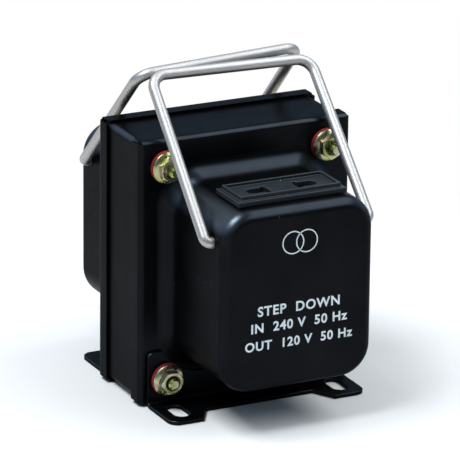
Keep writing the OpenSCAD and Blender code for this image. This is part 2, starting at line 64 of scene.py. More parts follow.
# Distance below which double points are merged
WELD = EPS / 10
# Share of a direction along an axis above which it counts as parallel
PARALLEL = 0.9
# How far a cutting tool reaches past what it cuts
OVERCUT = 2 * MM
# Signs of the converter's two sides
HANDS = (-1, 1)
ROUND_STEPS = 10
BEND_STEPS = 6
# How much large faces outweigh small ones in the shading of a rounded edge
FLAT_WEIGHT = 80
# Range that holds nearly all of a cloudy pattern
SPREAD = (0.3, 0.7)
# Length of one band of a wave texture at scale 1
WAVE_LENGTH = math.pi / 10
PHOTO_PIXELS = 460
WIRE_RUN = "wire_run"
LOG = logging.getLogger("converter")

Piece = bpy.types.Object
Paint = bpy.types.Material
Socket = bpy.types.NodeSocket
Colour = tuple[float, float, float]
Range = tuple[float, float]
Place = Sequence[float]
PlaceTest = Callable[[Vector, Vector], bool]


class Body(str, Enum):
    """Bodies of the frame that pieces ride on."""

    CONVERTER = "converter"
    FRONT_HANDLE = "front_handle"
    REAR_HANDLE = "rear_handle"
    FUSE_CARRIER = "fuse_carrier"


class Side(Enum):
    """End of the converter that a sub-assembly belongs to."""

    FRONT = "front"
    REAR = "rear"

    @property
    def turn(self) -> float:
        """Angle about Z that carries a piece from the front to this end."""
        return 0.0 if self is Side.FRONT else math.pi


# Bench: selection, edit-mode moves and modifiers


def only(piece: Piece) -> None:
    """Leave one piece selected and active, in object mode.

    Args:
        piece: The piece to work on.
    """
    if bpy.context.object and bpy.context.object.mode != "OBJECT":
        bpy.ops.object.mode_set(mode="OBJECT")
    bpy.ops.object.select_all(action="DESELECT")
    piece.select_set(True)
    bpy.context.view_layer.objects.active = piece


def named(piece: Piece, name: str) -> Piece:
    """Name a piece and its mesh."""
    piece.name = piece.data.name = name
    return piece


def settle(piece: Piece, name: str = "") -> Piece:
    """Put a piece's place, turn and scale into its mesh.

    Args:
        piece: The piece to settle.
        name: New name for the piece, if it gets one.

    Returns:
        The same piece.
    """
    only(piece)
    bpy.ops.object.transform_apply(location=True, rotation=True, scale=True)
    return named(piece, name) if name else piece


@contextmanager
def editing(piece: Piece) -> Iterator[Piece]:
    """Open a piece in edit mode with nothing selected, and close it again.

    Args:
        piece: The piece to edit.

    Yields:
        The same piece.
    """
    only(piece)
    bpy.ops.object.mode_set(mode="EDIT")
    bpy.ops.mesh.select_all(action="DESELECT")
    yield piece
    bpy.ops.object.mode_set(mode="OBJECT")


def start_picking(piece: Piece, kind: str) -> bmesh.types.BMesh:
    """Clear the selection of an open piece and get its mesh.

    Args:
        piece: The piece that is open in edit mode.
        kind: What will be selected: VERT, EDGE or FACE.

    Returns:
        The open mesh.
    """
    bpy.ops.mesh.select_mode(type=kind)
    bpy.ops.mesh.select_all(action="DESELECT")
    return bmesh.from_edit_mesh(piece.data)


def edge_run(edge: bmesh.types.BMEdge) -> tuple[Vector, Vector]:
    """Middle and direction of an edge."""
    start, end = (vert.co for vert in edge.verts)
    return (start + end) / 2, (end - start).normalized()


def pick_faces(piece: Piece, test: PlaceTest) -> None:
    """Select the faces whose middle and normal pass a test.

    Args:
        piece: The piece that is open in edit mode.
        test: Says whether a face with this middle and normal is wanted.
    """
    mesh = start_picking(piece, "FACE")
    for face in mesh.faces:
        if test(face.calc_center_median(), face.normal):
            face.select_set(True)
    bmesh.update_edit_mesh(piece.data)


def pick_edges(piece: Piece, test: PlaceTest) -> None:
    """Select the edges whose middle and direction pass a test.

    Args:
        piece: The piece that is open in edit mode.
        test: Says whether an edge with this middle and direction is wanted.
    """
    mesh = start_picking(piece, "EDGE")
    for edge in mesh.edges:
        if test(*edge_run(edge)):
            edge.select_set(True)
    bmesh.update_edit_mesh(piece.data)


def pick_points(piece: Piece, test: Callable[[Vector], bool]) -> None:
    """Select the points whose place passes a test.

    Args:
        piece: The piece that is open in edit mode.
        test: Says whether a point at this place is wanted.
    """
    mesh = start_picking(piece, "VERT")
    for vert in mesh.verts:
        if test(vert.co):
            vert.select_set(True)
    mesh.select_flush_mode()
    bmesh.update_edit_mesh(piece.data)


def weigh_edges(piece: Piece, share: Callable[[Vector], float]) -> None:
    """Give edges their share of the next weighted bevel.

    Args:
        piece: The piece that is open in edit mode.
        share: Gives the share for an edge with this middle.
    """
    mesh = bmesh.from_edit_mesh(piece.data)
    layer = mesh.edges.layers.float.new("bevel_weight_edge")
    for edge in mesh.edges:
        edge[layer] = share(edge_run(edge)[0])
    bmesh.update_edit_mesh(piece.data)


def push(move: Place) -> None:
    """Extrude what is selected by a move."""
    bpy.ops.mesh.extrude_region_move(TRANSFORM_OT_translate={"value": tuple(move)})


def stretch(factors: Place, pivot: Place) -> None:
    """Scale what is selected about a pivot."""
    bpy.ops.transform.resize(value=tuple(factors), center_override=tuple(pivot))


def shift(move: Place) -> None:
    """Move what is selected."""
    bpy.ops.transform.translate(value=tuple(move))


def sweep(steps: int, angle: float, hub: Place, axis: Place) -> None:
    """Spin what is selected about a hub by the right-hand rule; the operator counts the other way."""
    bpy.ops.mesh.spin(steps=steps, angle=-angle, center=tuple(hub), axis=tuple(axis))


def round_off(width: float, steps: int, points: bool = False) -> None:
    """Bevel what is selected to a round, at the corners of a flat sheet if points is set."""
    kind = "VERTICES" if points else "EDGES"
    bpy.ops.mesh.bevel(offset=width, segments=steps, profile=0.5, affect=kind, clamp_overlap=False)


def round_along(piece: Piece, axis: int, radius: float, steps: int = ROUND_STEPS) -> None:
    """Round the edges of an open piece that run along the axis with this number."""
    pick_edges(piece, lambda middle, run: abs(run[axis]) > PARALLEL)
    round_off(radius, steps)


def slice_at(place: Place, normal: Place, clear: bool) -> None:
    """Bisect the whole open piece at a plane, and clear its far side if asked to."""
    bpy.ops.mesh.select_all(action="SELECT")
    bpy.ops.mesh.bisect(plane_co=tuple(place), plane_no=tuple(normal), clear_outer=clear, threshold=WELD)


def heal(piece: Piece) -> None:
    """Merge double points and turn all faces outwards.

    Args:
        piece: The piece to heal.
    """
    with editing(piece):
        bpy.ops.mesh.select_all(action="SELECT")
        bpy.ops.mesh.remove_doubles(threshold=WELD)
        bpy.ops.mesh.normals_make_consistent(inside=False)


def apply_modifier(piece: Piece, kind: str, **values: object) -> None:
    """Add a modifier with these settings and apply it.

    Args:
        piece: The piece that gets it.
        kind: The modifier's type.
        **values: Its settings.
    """
    only(piece)
    modifier = piece.modifiers.new(kind.lower(), kind)
    for name, value in values.items():
        setattr(modifier, name, value)
    bpy.ops.object.modifier_apply(modifier=modifier.name)


def thicken(sheet: Piece, thickness: float, axis: int) -> None:
    """Give an open sheet its thickness, on the inside of its outermost face.

    Args:
        sheet: The sheet.
        thickness: Its thickness.
        axis: Number of the axis along which its lowest face looks outwards.
    """
    heal(sheet)
    outer = min(sheet.data.polygons, key=lambda polygon: polygon.center[axis])
    if outer.normal[axis] > 0:
        sheet.data.flip_normals()
    apply_modifier(sheet, "SOLIDIFY", thickness=thickness, offset=-1, use_even_offset=True)


def carve(piece: Piece, tool: Piece, operation: str = "DIFFERENCE") -> None:
    """Combine a piece with a tool, a closed solid that is used up."""
    apply_modifier(piece, "BOOLEAN", operation=operation, object=tool, solver="EXACT")
    bpy.data.objects.remove(tool)


def polish(piece: Piece, width: float = 0.0, steps: int = 2, sharp: float = 40.0) -> Piece:
    """Break the sharp edges of a piece and shade its rounds smoothly.

    Args:
        piece: The piece to finish.
        width: Width of the broken edges; 0 leaves them sharp.
        steps: Number of faces across a broken edge.
        sharp: Angle in degrees above which an edge counts as sharp.

    Returns:
        The same piece.
    """
    limit = math.radians(sharp)
    if width:
        apply_modifier(piece, "BEVEL", width=width, segments=steps, limit_method="ANGLE", angle_limit=limit)
    only(piece)
    bpy.ops.object.shade_smooth_by_angle(angle=limit)
    apply_modifier(piece, "WEIGHTED_NORMAL", keep_sharp=True, weight=FLAT_WEIGHT)
    return piece


def copied(piece: Piece, name: str) -> Piece:
    """Copy a piece with a mesh of its own.

    Args:
        piece: The piece to copy.
        name: Name of the copy.

    Returns:
        The copy.
    """
    twin = piece.copy()
    twin.data = piece.data.copy()
    bpy.context.scene.collection.objects.link(twin)
    return named(twin, name)


def joined(pieces: Sequence[Piece], name: str) -> Piece:
    """Join pieces into one object.

    Args:
        pieces: The pieces, which are used up.
        name: Name of the result.

    Returns:
        The joined piece.
    """
    only(pieces[0])
    for piece in pieces[1:]:
        piece.select_set(True)
    bpy.ops.object.join()
    return named(pieces[0], name)


def block(name: str, low: Place, high: Place) -> Piece:
    """Make a block between two corners, as a start for a piece or as a tool.

    Args:
        name: Name of the block.
        low: Lowest corner.
        high: Highest corner.

    Returns:
        The block.
    """
    low, high = Vector(low), Vector(high)
    bpy.ops.mesh.primitive_cube_add(size=1, location=(low + high) / 2, scale=high - low)
    return settle(bpy.context.object, name)


def rounded_block(name: str, low: Place, high: Place, axis: int, radius: float) -> Piece:
    """Make a block whose edges along one axis are rounded.

    Args:
        name: Name of the block.
        low: Lowest corner.
        high: Highest corner.
        axis: Number of the axis that the rounded edges run along.
        radius: Radius of those edges.

    Returns:
        The block.
    """
    piece = block(name, low, high)
    with editing(piece):
        round_along(piece, axis, radius)
    return piece


def turned(name: str, stations: Sequence[Range], sides: int = 48, ring: bool = False) -> Piece:
    """Turn a round piece about Z from stations along it.

    Args:
        name: Name of the piece.
        stations: Height and radius at each step of the profile.
        sides: Number of sides round the piece.
        ring: The profile ends where it started, as on a washer; otherwise both ends get a face.

    Returns:
        The piece, standing on its own axis.
    """
    last_z, last_r = stations[0]
    fill = "NOTHING" if ring else "NGON"
    bpy.ops.mesh.primitive_circle_add(vertices=sides, radius=last_r, fill_type=fill, location=(0, 0, last_z))
    piece = settle(bpy.context.object, name)
    with editing(piece):
        bpy.ops.mesh.select_all(action="SELECT")
        for height, radius in stations[1:]:
            push((0, 0, height - last_z))
            factor = radius / last_r
            stretch((factor, factor, 1), (0, 0, height))
            last_z, last_r = height, radius
    heal(piece)
    return piece


def set_along(piece: Piece, place: Place, direction: Place) -> Piece:
    """Lay a piece that was turned about Z along a direction.

    Args:
        piece: The piece, standing on the origin.
        place: Where its foot goes.
        direction: Where its axis points.

    Returns:
        The same piece.
    """
    turn = Vector((0, 0, 1)).rotation_difference(Vector(direction))
    piece.matrix_world = Matrix.Translation(Vector(place)) @ turn.to_matrix().to_4x4()
    return settle(piece)


def side_axis(node: str) -> Range:
    """Depth and height of the axis of a node in the rear bell's side."""
    low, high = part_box(node)
    return (low.y + high.y) / 2, (low.z + high.z) / 2


def set_in_side(piece: Piece, node: str) -> Piece:
    """Lay a turned piece across the converter, on the axis of a node in the rear bell's side."""
    return set_along(piece, (0, *side_axis(node)), (1, 0, 0))


def rod(start: Place, end: Place, radius: float) -> Piece:
    """Make a drill between the middles of its two ends."""
    run = Vector(end) - Vector(start)
    return set_along(turned("drill", [(0, radius), (run.length, radius)]), start, run)


def turn_to(piece: Piece, side: Side, name: str) -> Piece:
    """Carry a piece made at the front to its end of the converter, and name it for that end."""
    piece.rotation_euler = Euler((0, 0, side.turn))
    return settle(piece, f"{side.value}_{name}")


def dress(piece: Piece, paint: Paint) -> None:
    """Give a piece, or a node of the frame, one material."""
    piece.data.materials.clear()
    piece.data.materials.append(paint)


def hand_over(piece: Piece, paint: Paint, body: Body, slot: str, *nodes: str) -> None:
    """Dress a finished piece, fix it to the frame and report it.

    Args:
        piece: The finished piece.
        paint: Its material.
        body: The body that it rides on.
        slot: Not used; the record's material slot for its finish, empty where the record has none.
        *nodes: Nodes of the frame that it stands for.
    """
    dress(piece, paint)
    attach(piece, body.value)
    if nodes:
        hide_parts(*nodes)
    LOG.info("%s rides on %s, %d faces", piece.name, body.value, len(piece.data.polygons))


# Finishes


class Nodes:
    """Node tree with short calls for the nodes that feed its shader."""

    def __init__(self, tree: bpy.types.NodeTree) -> None:
        """Take over the tree of a material or of the world, and give it coordinates."""
        self.tree = tree
        self.coordinates = tree.nodes.new("ShaderNodeTexCoord").outputs

    def add(self, kind: str, inputs: dict[str | int, object], **settings: object) -> bpy.types.Node:
        """Add a node.

        Args:
            kind: Node type without its prefix.
            inputs: Values or sockets for its inputs.
            **settings: The node's own settings.

        Returns:
            The node.
        """
        node = self.tree.nodes.new("ShaderNode" + kind)
        for name, value in settings.items():
            setattr(node, name, value)
        for name, value in inputs.items():
            self.feed(node.inputs[name], value)
        return node

    def feed(self, socket: Socket, value: object) -> None:
        """Link a socket to another one, or set its value."""
        if isinstance(value, bpy.types.NodeSocket):
            self.tree.links.new(value, socket)
        else:
            socket.default_value = value

    def math(self, operation: str, *values: object, clamp: bool = False) -> Socket:
        """Work out one value from others."""
        return self.add("Math", dict(enumerate(values)), operation=operation, use_clamp=clamp).outputs[0]

    def parts(self, vector: Socket) -> list[Socket]:
        """Split a place or direction into its three parts."""
        return list(self.add("SeparateXYZ", {0: vector}).outputs)

    def mapped(self, value: Socket, source: Range, target: Range, kind: str = "LINEAR") -> Socket:
        """Map one range of a value to another, which the result never leaves."""
        limits = {"From Min": source[0], "From Max": source[1], "To Min": target[0], "To Max": target[1]}
        return self.add("MapRange", {"Value": value, **limits}, interpolation_type=kind).outputs[0]

    def span(self, value: Socket, start: float, end: float) -> Socket:
        """Map a value from start to end to 0 to 1, smoothly."""
        return self.mapped(value, (start, end), (0.0, 1.0), "SMOOTHSTEP")

    def ramp(self, value: Socket, *stops: tuple[float, Colour]) -> Socket:
        """Colours along a value.

        Args:
            value: Value to colour.
            *stops: Places and their colours.

        Returns:
            The colour.
        """
        node = self.add("ValToRGB", {"Fac": value})
        steps = node.color_ramp.elements
        while len(steps) < len(stops):
            steps.new(0.5)
        for step, (place, colour) in zip(steps, stops):
            step.position = place
            step.color = (*colour, 1.0)
        return node.outputs["Color"]


class Shader(Nodes):
    """Principled material with patterns on the object's own coordinates."""

    # Parts of the surface's direction over which the masks of bends run from 0 to 1
    BENT: Range = (0.99, 0.86)
    NOT_DOWN: Range = (-0.1, 0.4)
    CORNERED: Range = (0.2, 0.6)

    def __init__(self, name: str) -> None:
        """Start a material.

        Args:
            name: Name of the material.
        """
        self.material: Paint = bpy.data.materials.new(name)
        self.material.use_nodes = True
        super().__init__(self.material.node_tree)
        self.skin = next(node for node in self.tree.nodes if node.type == "BSDF_PRINCIPLED")
        self.place: Socket = self.coordinates["Object"]

    def coat(self, **values: object) -> Paint:
        """Set the shader's sockets.

        Args:
            **values: Values or sockets; an underscore in a name stands for a space.

        Returns:
            The finished material.
        """
        for name, value in values.items():
            self.feed(self.skin.inputs[name.replace("_", " ")], value)
        return self.material

    def noise(self, scale: float, detail: float = 2.0, place: Socket | None = None) -> Socket:
        """Cloudy value about 0.5, with this many clouds in a metre and this many finer layers."""
        inputs = {"Vector": place or self.place, "Scale": scale, "Detail": detail}
        return self.add("TexNoise", inputs).outputs[0]

    def drawn(self, scale: float, along: Place) -> Socket:
        """Cloudy value that is drawn out into lines along the axes with a small scale."""
        place = self.add("Mapping", {"Vector": self.place, "Scale": tuple(along)}).outputs["Vector"]
        return self.noise(scale, 2, place)

    def bands(self, axis: str, period: float, wobble: float) -> Socket:
        """Even bands from 0 to 1 across an axis, with this distance from band to band."""
        inputs = {"Vector": self.place, "Scale": WAVE_LENGTH / period, "Distortion": wobble}
        return self.add("TexWave", inputs, bands_direction=axis).outputs[1]

    def specks(self, scale: float, size: float, share: float) -> Socket:
        """Scattered round specks.

        Args:
            scale: Number of places for a speck in a metre.
            size: Radius of a speck as a share of their distance.
            share: Share of the places that hold one.

        Returns:
            1 on a speck and 0 beside it.
        """
        cells = self.add("TexVoronoi", {"Vector": self.place, "Scale": scale}).outputs
        chance = self.add("SeparateColor", {"Color": cells["Color"]}).outputs[0]
        near = self.math("LESS_THAN", cells["Distance"], size)
        return self.math("MULTIPLY", near, self.math("LESS_THAN", chance, share))

    def upper_bends(self) -> Socket:
        """Where the surface is bent and doesn't look down.

        Returns:
            1 on an upper bend and 0 on a flat wall or a lower bend.
        """
        facing = self.parts(self.coordinates["Normal"])
        straight = 0.0
        for axis in facing:
            straight = self.math("MAXIMUM", self.math("ABSOLUTE", axis), straight)
        bent = self.span(straight, *self.BENT)
        return self.math("MULTIPLY", bent, self.span(facing[2], *self.NOT_DOWN))

    def upper_corners(self) -> Socket:
        """1 where the surface bends from the top to a side, and 0 on a wall or another bend."""
        across, _, up = self.parts(self.coordinates["Normal"])
        return self.span(self.math("MINIMUM", self.math("ABSOLUTE", across), up), *self.CORNERED)

    def between(self, value: Socket, limits: Range) -> Socket:
        """Map the usual spread of a cloudy pattern to a range."""
        return self.mapped(value, SPREAD, limits)

    def clouds(self, scale: float, detail: float, deep: Colour, pale: Colour) -> Socket:
        """Cloudy mix of a deep and a pale tone."""
        return self.ramp(self.noise(scale, detail), (SPREAD[0], deep), (SPREAD[1], pale))

    def mix(self, share: Socket, first: Socket, second: Colour) -> Socket:
        """Lay a share of a colour over a tone."""
        node = self.add("Mix", {0: share, 6: first, 7: (*second, 1.0)}, data_type="RGBA")
        return node.outputs[2]

    def relief(self, height: Socket, depth: float, strength: float) -> Socket:
        """Bump from a pattern of this depth in metres, of which this share shows."""
        inputs = {"Height": height, "Distance": depth, "Strength": strength}
        return self.add("Bump", inputs).outputs["Normal"]


@dataclass(frozen=True)
class SatinEnamel:
    """Stoved black enamel with faint orange peel, dust, and painted highlights on its upper bends and
    corners.
    """

    name: str = "satin_black_enamel"
    deep: Colour = (0.0068, 0.0075, 0.0088)
    pale: Colour = (0.0092, 0.0101, 0.0119)
    painted_bend_highlight: Colour = (0.0215, 0.0265, 0.0330)
    painted_corner_highlight: Colour = (0.075, 0.092, 0.115)
    dust: Colour = (0.22, 0.24, 0.26)
    dust_places: float = 230
    dust_size: float = 0.036
    dust_share: float = 0.3
    gloss: Range = (0.30, 0.37)
    lustre: float = 0.85
    rim: float = 0.58
    cloud_scale: float = 55
    smear_scale: float = 140
    peel_scale: float = 1500
    peel_depth: float = 0.02 * MM
    peel_share: float = 0.25

    def make(self) -> Paint:
        """Build the material.

        Returns:
            The material.
        """
        shader = Shader(self.name)
        tone = shader.clouds(self.cloud_scale, 4, self.deep, self.pale)
        # Painted highlight: a paler, bluer tone on the upper bends
        tone = shader.mix(shader.upper_bends(), tone, self.painted_bend_highlight)
        # Painted highlight: a bright bluish tone on the upper corners
        tone = shader.mix(shader.upper_corners(), tone, self.painted_corner_highlight)
        dusty = shader.specks(self.dust_places, self.dust_size, self.dust_share)
        peel = shader.noise(self.peel_scale, 1)
        return shader.coat(
            Base_Color=shader.mix(dusty, tone, self.dust),
            Roughness=shader.between(shader.noise(self.smear_scale, 3), self.gloss),
            Metallic=self.lustre,
            Specular_IOR_Level=0.0,
            Specular_Tint=(self.rim, self.rim, self.rim, 1),
            Normal=shader.relief(peel, self.peel_depth, self.peel_share),
        )


@dataclass(frozen=True)
class DrawnSteel:
    """Bright drawn steel wire with fine lines along it."""

    name: str = "bright_drawn_wire"
    dark: tuple[float, Colour] = (0.3, (0.44, 0.435, 0.43))
    light: tuple[float, Colour] = (0.65, (0.475, 0.47, 0.465))
    gloss: Range = (0.44, 0.52)
    line_scale: float = 900
    line_depth: float = 0.01 * MM
    line_share: float = 0.04
    smear_scale: float = 90

    def make(self) -> Paint:
        """Build the material from the wire's own run attribute.

        Returns:
            The material.
        """
        shader = Shader(self.name)
        run = shader.add("Attribute", {}, attribute_name=WIRE_RUN).outputs["Vector"]
        lines = shader.noise(self.line_scale, 3, run)
        return shader.coat(
            Base_Color=shader.ramp(lines, self.dark, self.light),
            Metallic=1.0,
            Roughness=shader.between(shader.noise(self.smear_scale, 3), self.gloss),
            Normal=shader.relief(lines, self.line_depth, self.line_share),
        )


@dataclass(frozen=True)
class YellowZinc:
    """Zinc plate with a yellow passivate that runs to green and rose."""

    name: str = "yellow_zinc_plate"
    film: tuple[tuple[float, Colour], ...] = (
        (0.30, (0.26, 0.33, 0.12)),
        (0.42, (0.40, 0.40, 0.16)),
        (0.52, (0.46, 0.47, 0.33)),
        (0.62, (0.44, 0.36, 0.22)),
        (0.74, (0.35, 0.39, 0.27)),
    )
    film_scale: float = 190
    gloss: Range = (0.24, 0.33)
    smear_scale: float = 900
    grain_scale: float = 1500
    grain_depth: float = 0.01 * MM
    grain_share: float = 0.04

    def make(self) -> Paint:
        """Build the material.

        Returns:
            The material.
        """
        shader = Shader(self.name)
        grain = shader.noise(self.grain_scale, 1)
        return shader.coat(
            Base_Color=shader.ramp(shader.noise(self.film_scale, 1), *self.film),
            Metallic=1.0,
            Roughness=shader.between(shader.noise(self.smear_scale), self.gloss),
            Normal=shader.relief(grain, self.grain_depth, self.grain_share),
        )


@dataclass(frozen=True)
class Speckled:
    """Non-metal with a cloudy tone, fine grain and, if asked for, dust and a painted highlight on its upper
    edges.
    """

    name: str
    deep: Colour
    pale: Colour
    gloss: Range = (0.45, 0.6)
    grain: float = 2200
    grain_depth: float = 0.02 * MM
    grain_share: float = 0.5
    cloud_size: float = 9
    smear_size: float = 4
    shine: float = 0.5
    painted_edge_highlight: Colour | None = None
    dust_share: float = 0.0
    dust: Colour = (0.3, 0.32, 0.34)
    dust_places: float = 420
    dust_size: float = 0.07

    def make(self) -> Paint:
        """Build the material.

        Returns:
            The material.
        """
        shader = Shader(self.name)
        grain = shader.noise(self.grain)
        tone = shader.clouds(self.grain / self.cloud_size, 3, self.deep, self.pale)
        if self.painted_edge_highlight:
            # Painted highlight: a paler tone on the upper edges
            tone = shader.mix(shader.upper_bends(), tone, self.painted_edge_highlight)
        if self.dust_share:
            dusty = shader.specks(self.dust_places, self.dust_size, self.dust_share)
            tone = shader.mix(dusty, tone, self.dust)
        return shader.coat(
            Base_Color=tone,
            Roughness=shader.between(shader.noise(self.grain / self.smear_size), self.gloss),
            Specular_IOR_Level=self.shine,
            Normal=shader.relief(grain, self.grain_depth, self.grain_share),
        )


@dataclass(frozen=True)
class Banded:
    """Metal or film in even layers: stacked sheets, wound wire or lapped tape."""

    name: str
    axis: str
    period: float
    deep: Colour
    pale: Colour
    metallic: float = 0.0
    gloss: Range = (0.3, 0.45)
    smear_scale: float = 500
    groove: Range = (0.1, 0.6)
    wobble: float = 0.2
    depth_share: float = 1 / 6
    relief_share: float = 0.8

    def make(self) -> Paint:
        """Build the material.

        Returns:
            The material.
        """
        shader = Shader(self.name)
        layers = shader.bands(self.axis, self.period, self.wobble)
        bottom, top = self.groove
        return shader.coat(
            Base_Color=shader.ramp(layers, (bottom, self.deep), (top, self.pale)),
            Metallic=self.metallic,
            Roughness=shader.between(shader.noise(self.smear_scale), self.gloss),
            Normal=shader.relief(layers, self.period * self.depth_share, self.relief_share),
        )


@dataclass(frozen=True)
class StampedMetal:
    """Plain metal with rolling lines and a faint tarnish."""

    name: str
    deep: Colour
    pale: Colour
    gloss: Range = (0.22, 0.38)
    tarnish_scale: float = 220
    line_scale: float = 500
    line_run: Place = (1, 1, 0.08)
    line_depth: float = 0.01 * MM
    line_share: float = 0.3

    def make(self) -> Paint:
        """Build the material.

        Returns:
            The material.
        """
        shader = Shader(self.name)
        lines = shader.drawn(self.line_scale, self.line_run)
        return shader.coat(
            Base_Color=shader.clouds(self.tarnish_scale, 3, self.deep, self.pale),
            Metallic=1.0,
            Roughness=shader.between(lines, self.gloss),
            Normal=shader.relief(lines, self.line_depth, self.line_share),
        )


@dataclass(frozen=True)
class ClearGlass:
    """Drawn glass tube with faint draw lines."""

    name: str = "fuse_glass_tube"
    tint: Colour = (0.92, 0.96, 0.95)
    bending: float = 1.48
    gloss: Range = (0.02, 0.07)
    line_scale: float = 700
    line_run: Place = (0.05, 1, 1)
    line_depth: float = 0.005 * MM
    line_share: float = 0.3

    def make(self) -> Paint:
        """Build the material.

        Returns:
            The material.
        """
        shader = Shader(self.name)
        lines = shader.drawn(self.line_scale, self.line_run)
        return shader.coat(
            Base_Color=(*self.tint, 1),
            Transmission_Weight=1.0,
            IOR=self.bending,
            Roughness=shader.between(lines, self.gloss),
            Normal=shader.relief(lines, self.line_depth, self.line_share),
        )


RED_FIBRE = Speckled(
    "red_fibre", (0.17, 0.006, 0.014), (0.25, 0.012, 0.024), gloss=(0.5, 0.65), grain=1500, shine=0.3
)
# The outlet's paler upper edges are a painted highlight
OUTLET_PLASTIC = Speckled(
    "outlet_plastic", (0.010, 0.0132, 0.0172), (0.0145, 0.0185, 0.0233), gloss=(0.32, 0.42),
    dust_share=0.35, shine=0.12, painted_edge_highlight=(0.045, 0.055, 0.066),
)
FUSE_PLASTIC = Speckled("fuse_plastic", (0.008, 0.008, 0.009), (0.014, 0.014, 0.015), gloss=(0.3, 0.45))
GLAND_RUBBER = Speckled("gland_rubber", (0.010, 0.010, 0.011), (0.02, 0.02, 0.021), gloss=(0.6, 0.75))
PALE_INK = Speckled("pale_ink", (0.56, 0.64, 0.68), (0.70, 0.78, 0.82), gloss=(0.55, 0.7), grain=3000)


# Shared places


@dataclass(frozen=True)
class Layout:
    """Places and sizes that several sub-assemblies share, most of them read from the frame."""

    cover_low: Vector
    cover_high: Vector
    flange_y: float
    stud_x: float
    stud_dz: float
    stud_r: float
    stud_reach: float
    pivot_y: float
    pivot_z: float
    bell_w: float = 60 * MM
    bell_h: float = 68 * MM
    sheet_t: float = 1 * MM
    foot_t: float = 1.5 * MM
    washer_r: float = 6 * MM
    hole_gap: float = 0.3 * MM

    @classmethod
    def from_frame(cls) -> "Layout":
        """Read the places from the frame's nodes and joints.

        Returns:
            The layout.
        """
        cover_low, cover_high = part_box("front_cover")
        stud_low, stud_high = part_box("tie_studs")
        washer_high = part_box("front_washers")[1]
        swing = next(joint for joint in frame["joints"] if joint["name"] == "front_handle_swing")
        stud_x = washer_high.x - cls.washer_r
        stud_r = stud_high.x - stud_x
        return cls(
            cover_low=cover_low,
            cover_high=cover_high,
            flange_y=-washer_high.y,
            stud_x=stud_x,
            stud_dz=(stud_high.z - stud_low.z) / 2 - stud_r,
            stud_r=stud_r,
            stud_reach=stud_high.y,
            pivot_y=-swing["pos_m"][1],
            pivot_z=swing["pos_m"][2],
        )

    @property
    def mid_z(self) -> float:
        """Height of the middle of the core."""
        return (self.cover_low.z + self.cover_high.z) / 2

    @property
    def face_y(self) -> float:
        """Distance from the middle of the core to the bell's face."""
        return -self.cover_low.y

    @property
    def top_z(self) -> float:
        """Height of the bell's top."""
        return self.mid_z + self.bell_h / 2

    @property
    def wall_x(self) -> float:
        """Distance from the middle of the core to the bell's sides."""
        return self.bell_w / 2

    @property
    def hole_r(self) -> float:
        """Radius of the holes for the studs."""
        return self.stud_r + self.hole_gap

    @property
    def middle(self) -> Vector:
        """Middle of the front flange."""
        return Vector((0, -self.flange_y, self.mid_z))

    def studs(self) -> list[Range]:
        """Across and up places of the four studs."""
        return [(x * self.stud_x, self.mid_z + z * self.stud_dz) for x in HANDS for z in HANDS]


# Sub-assemblies


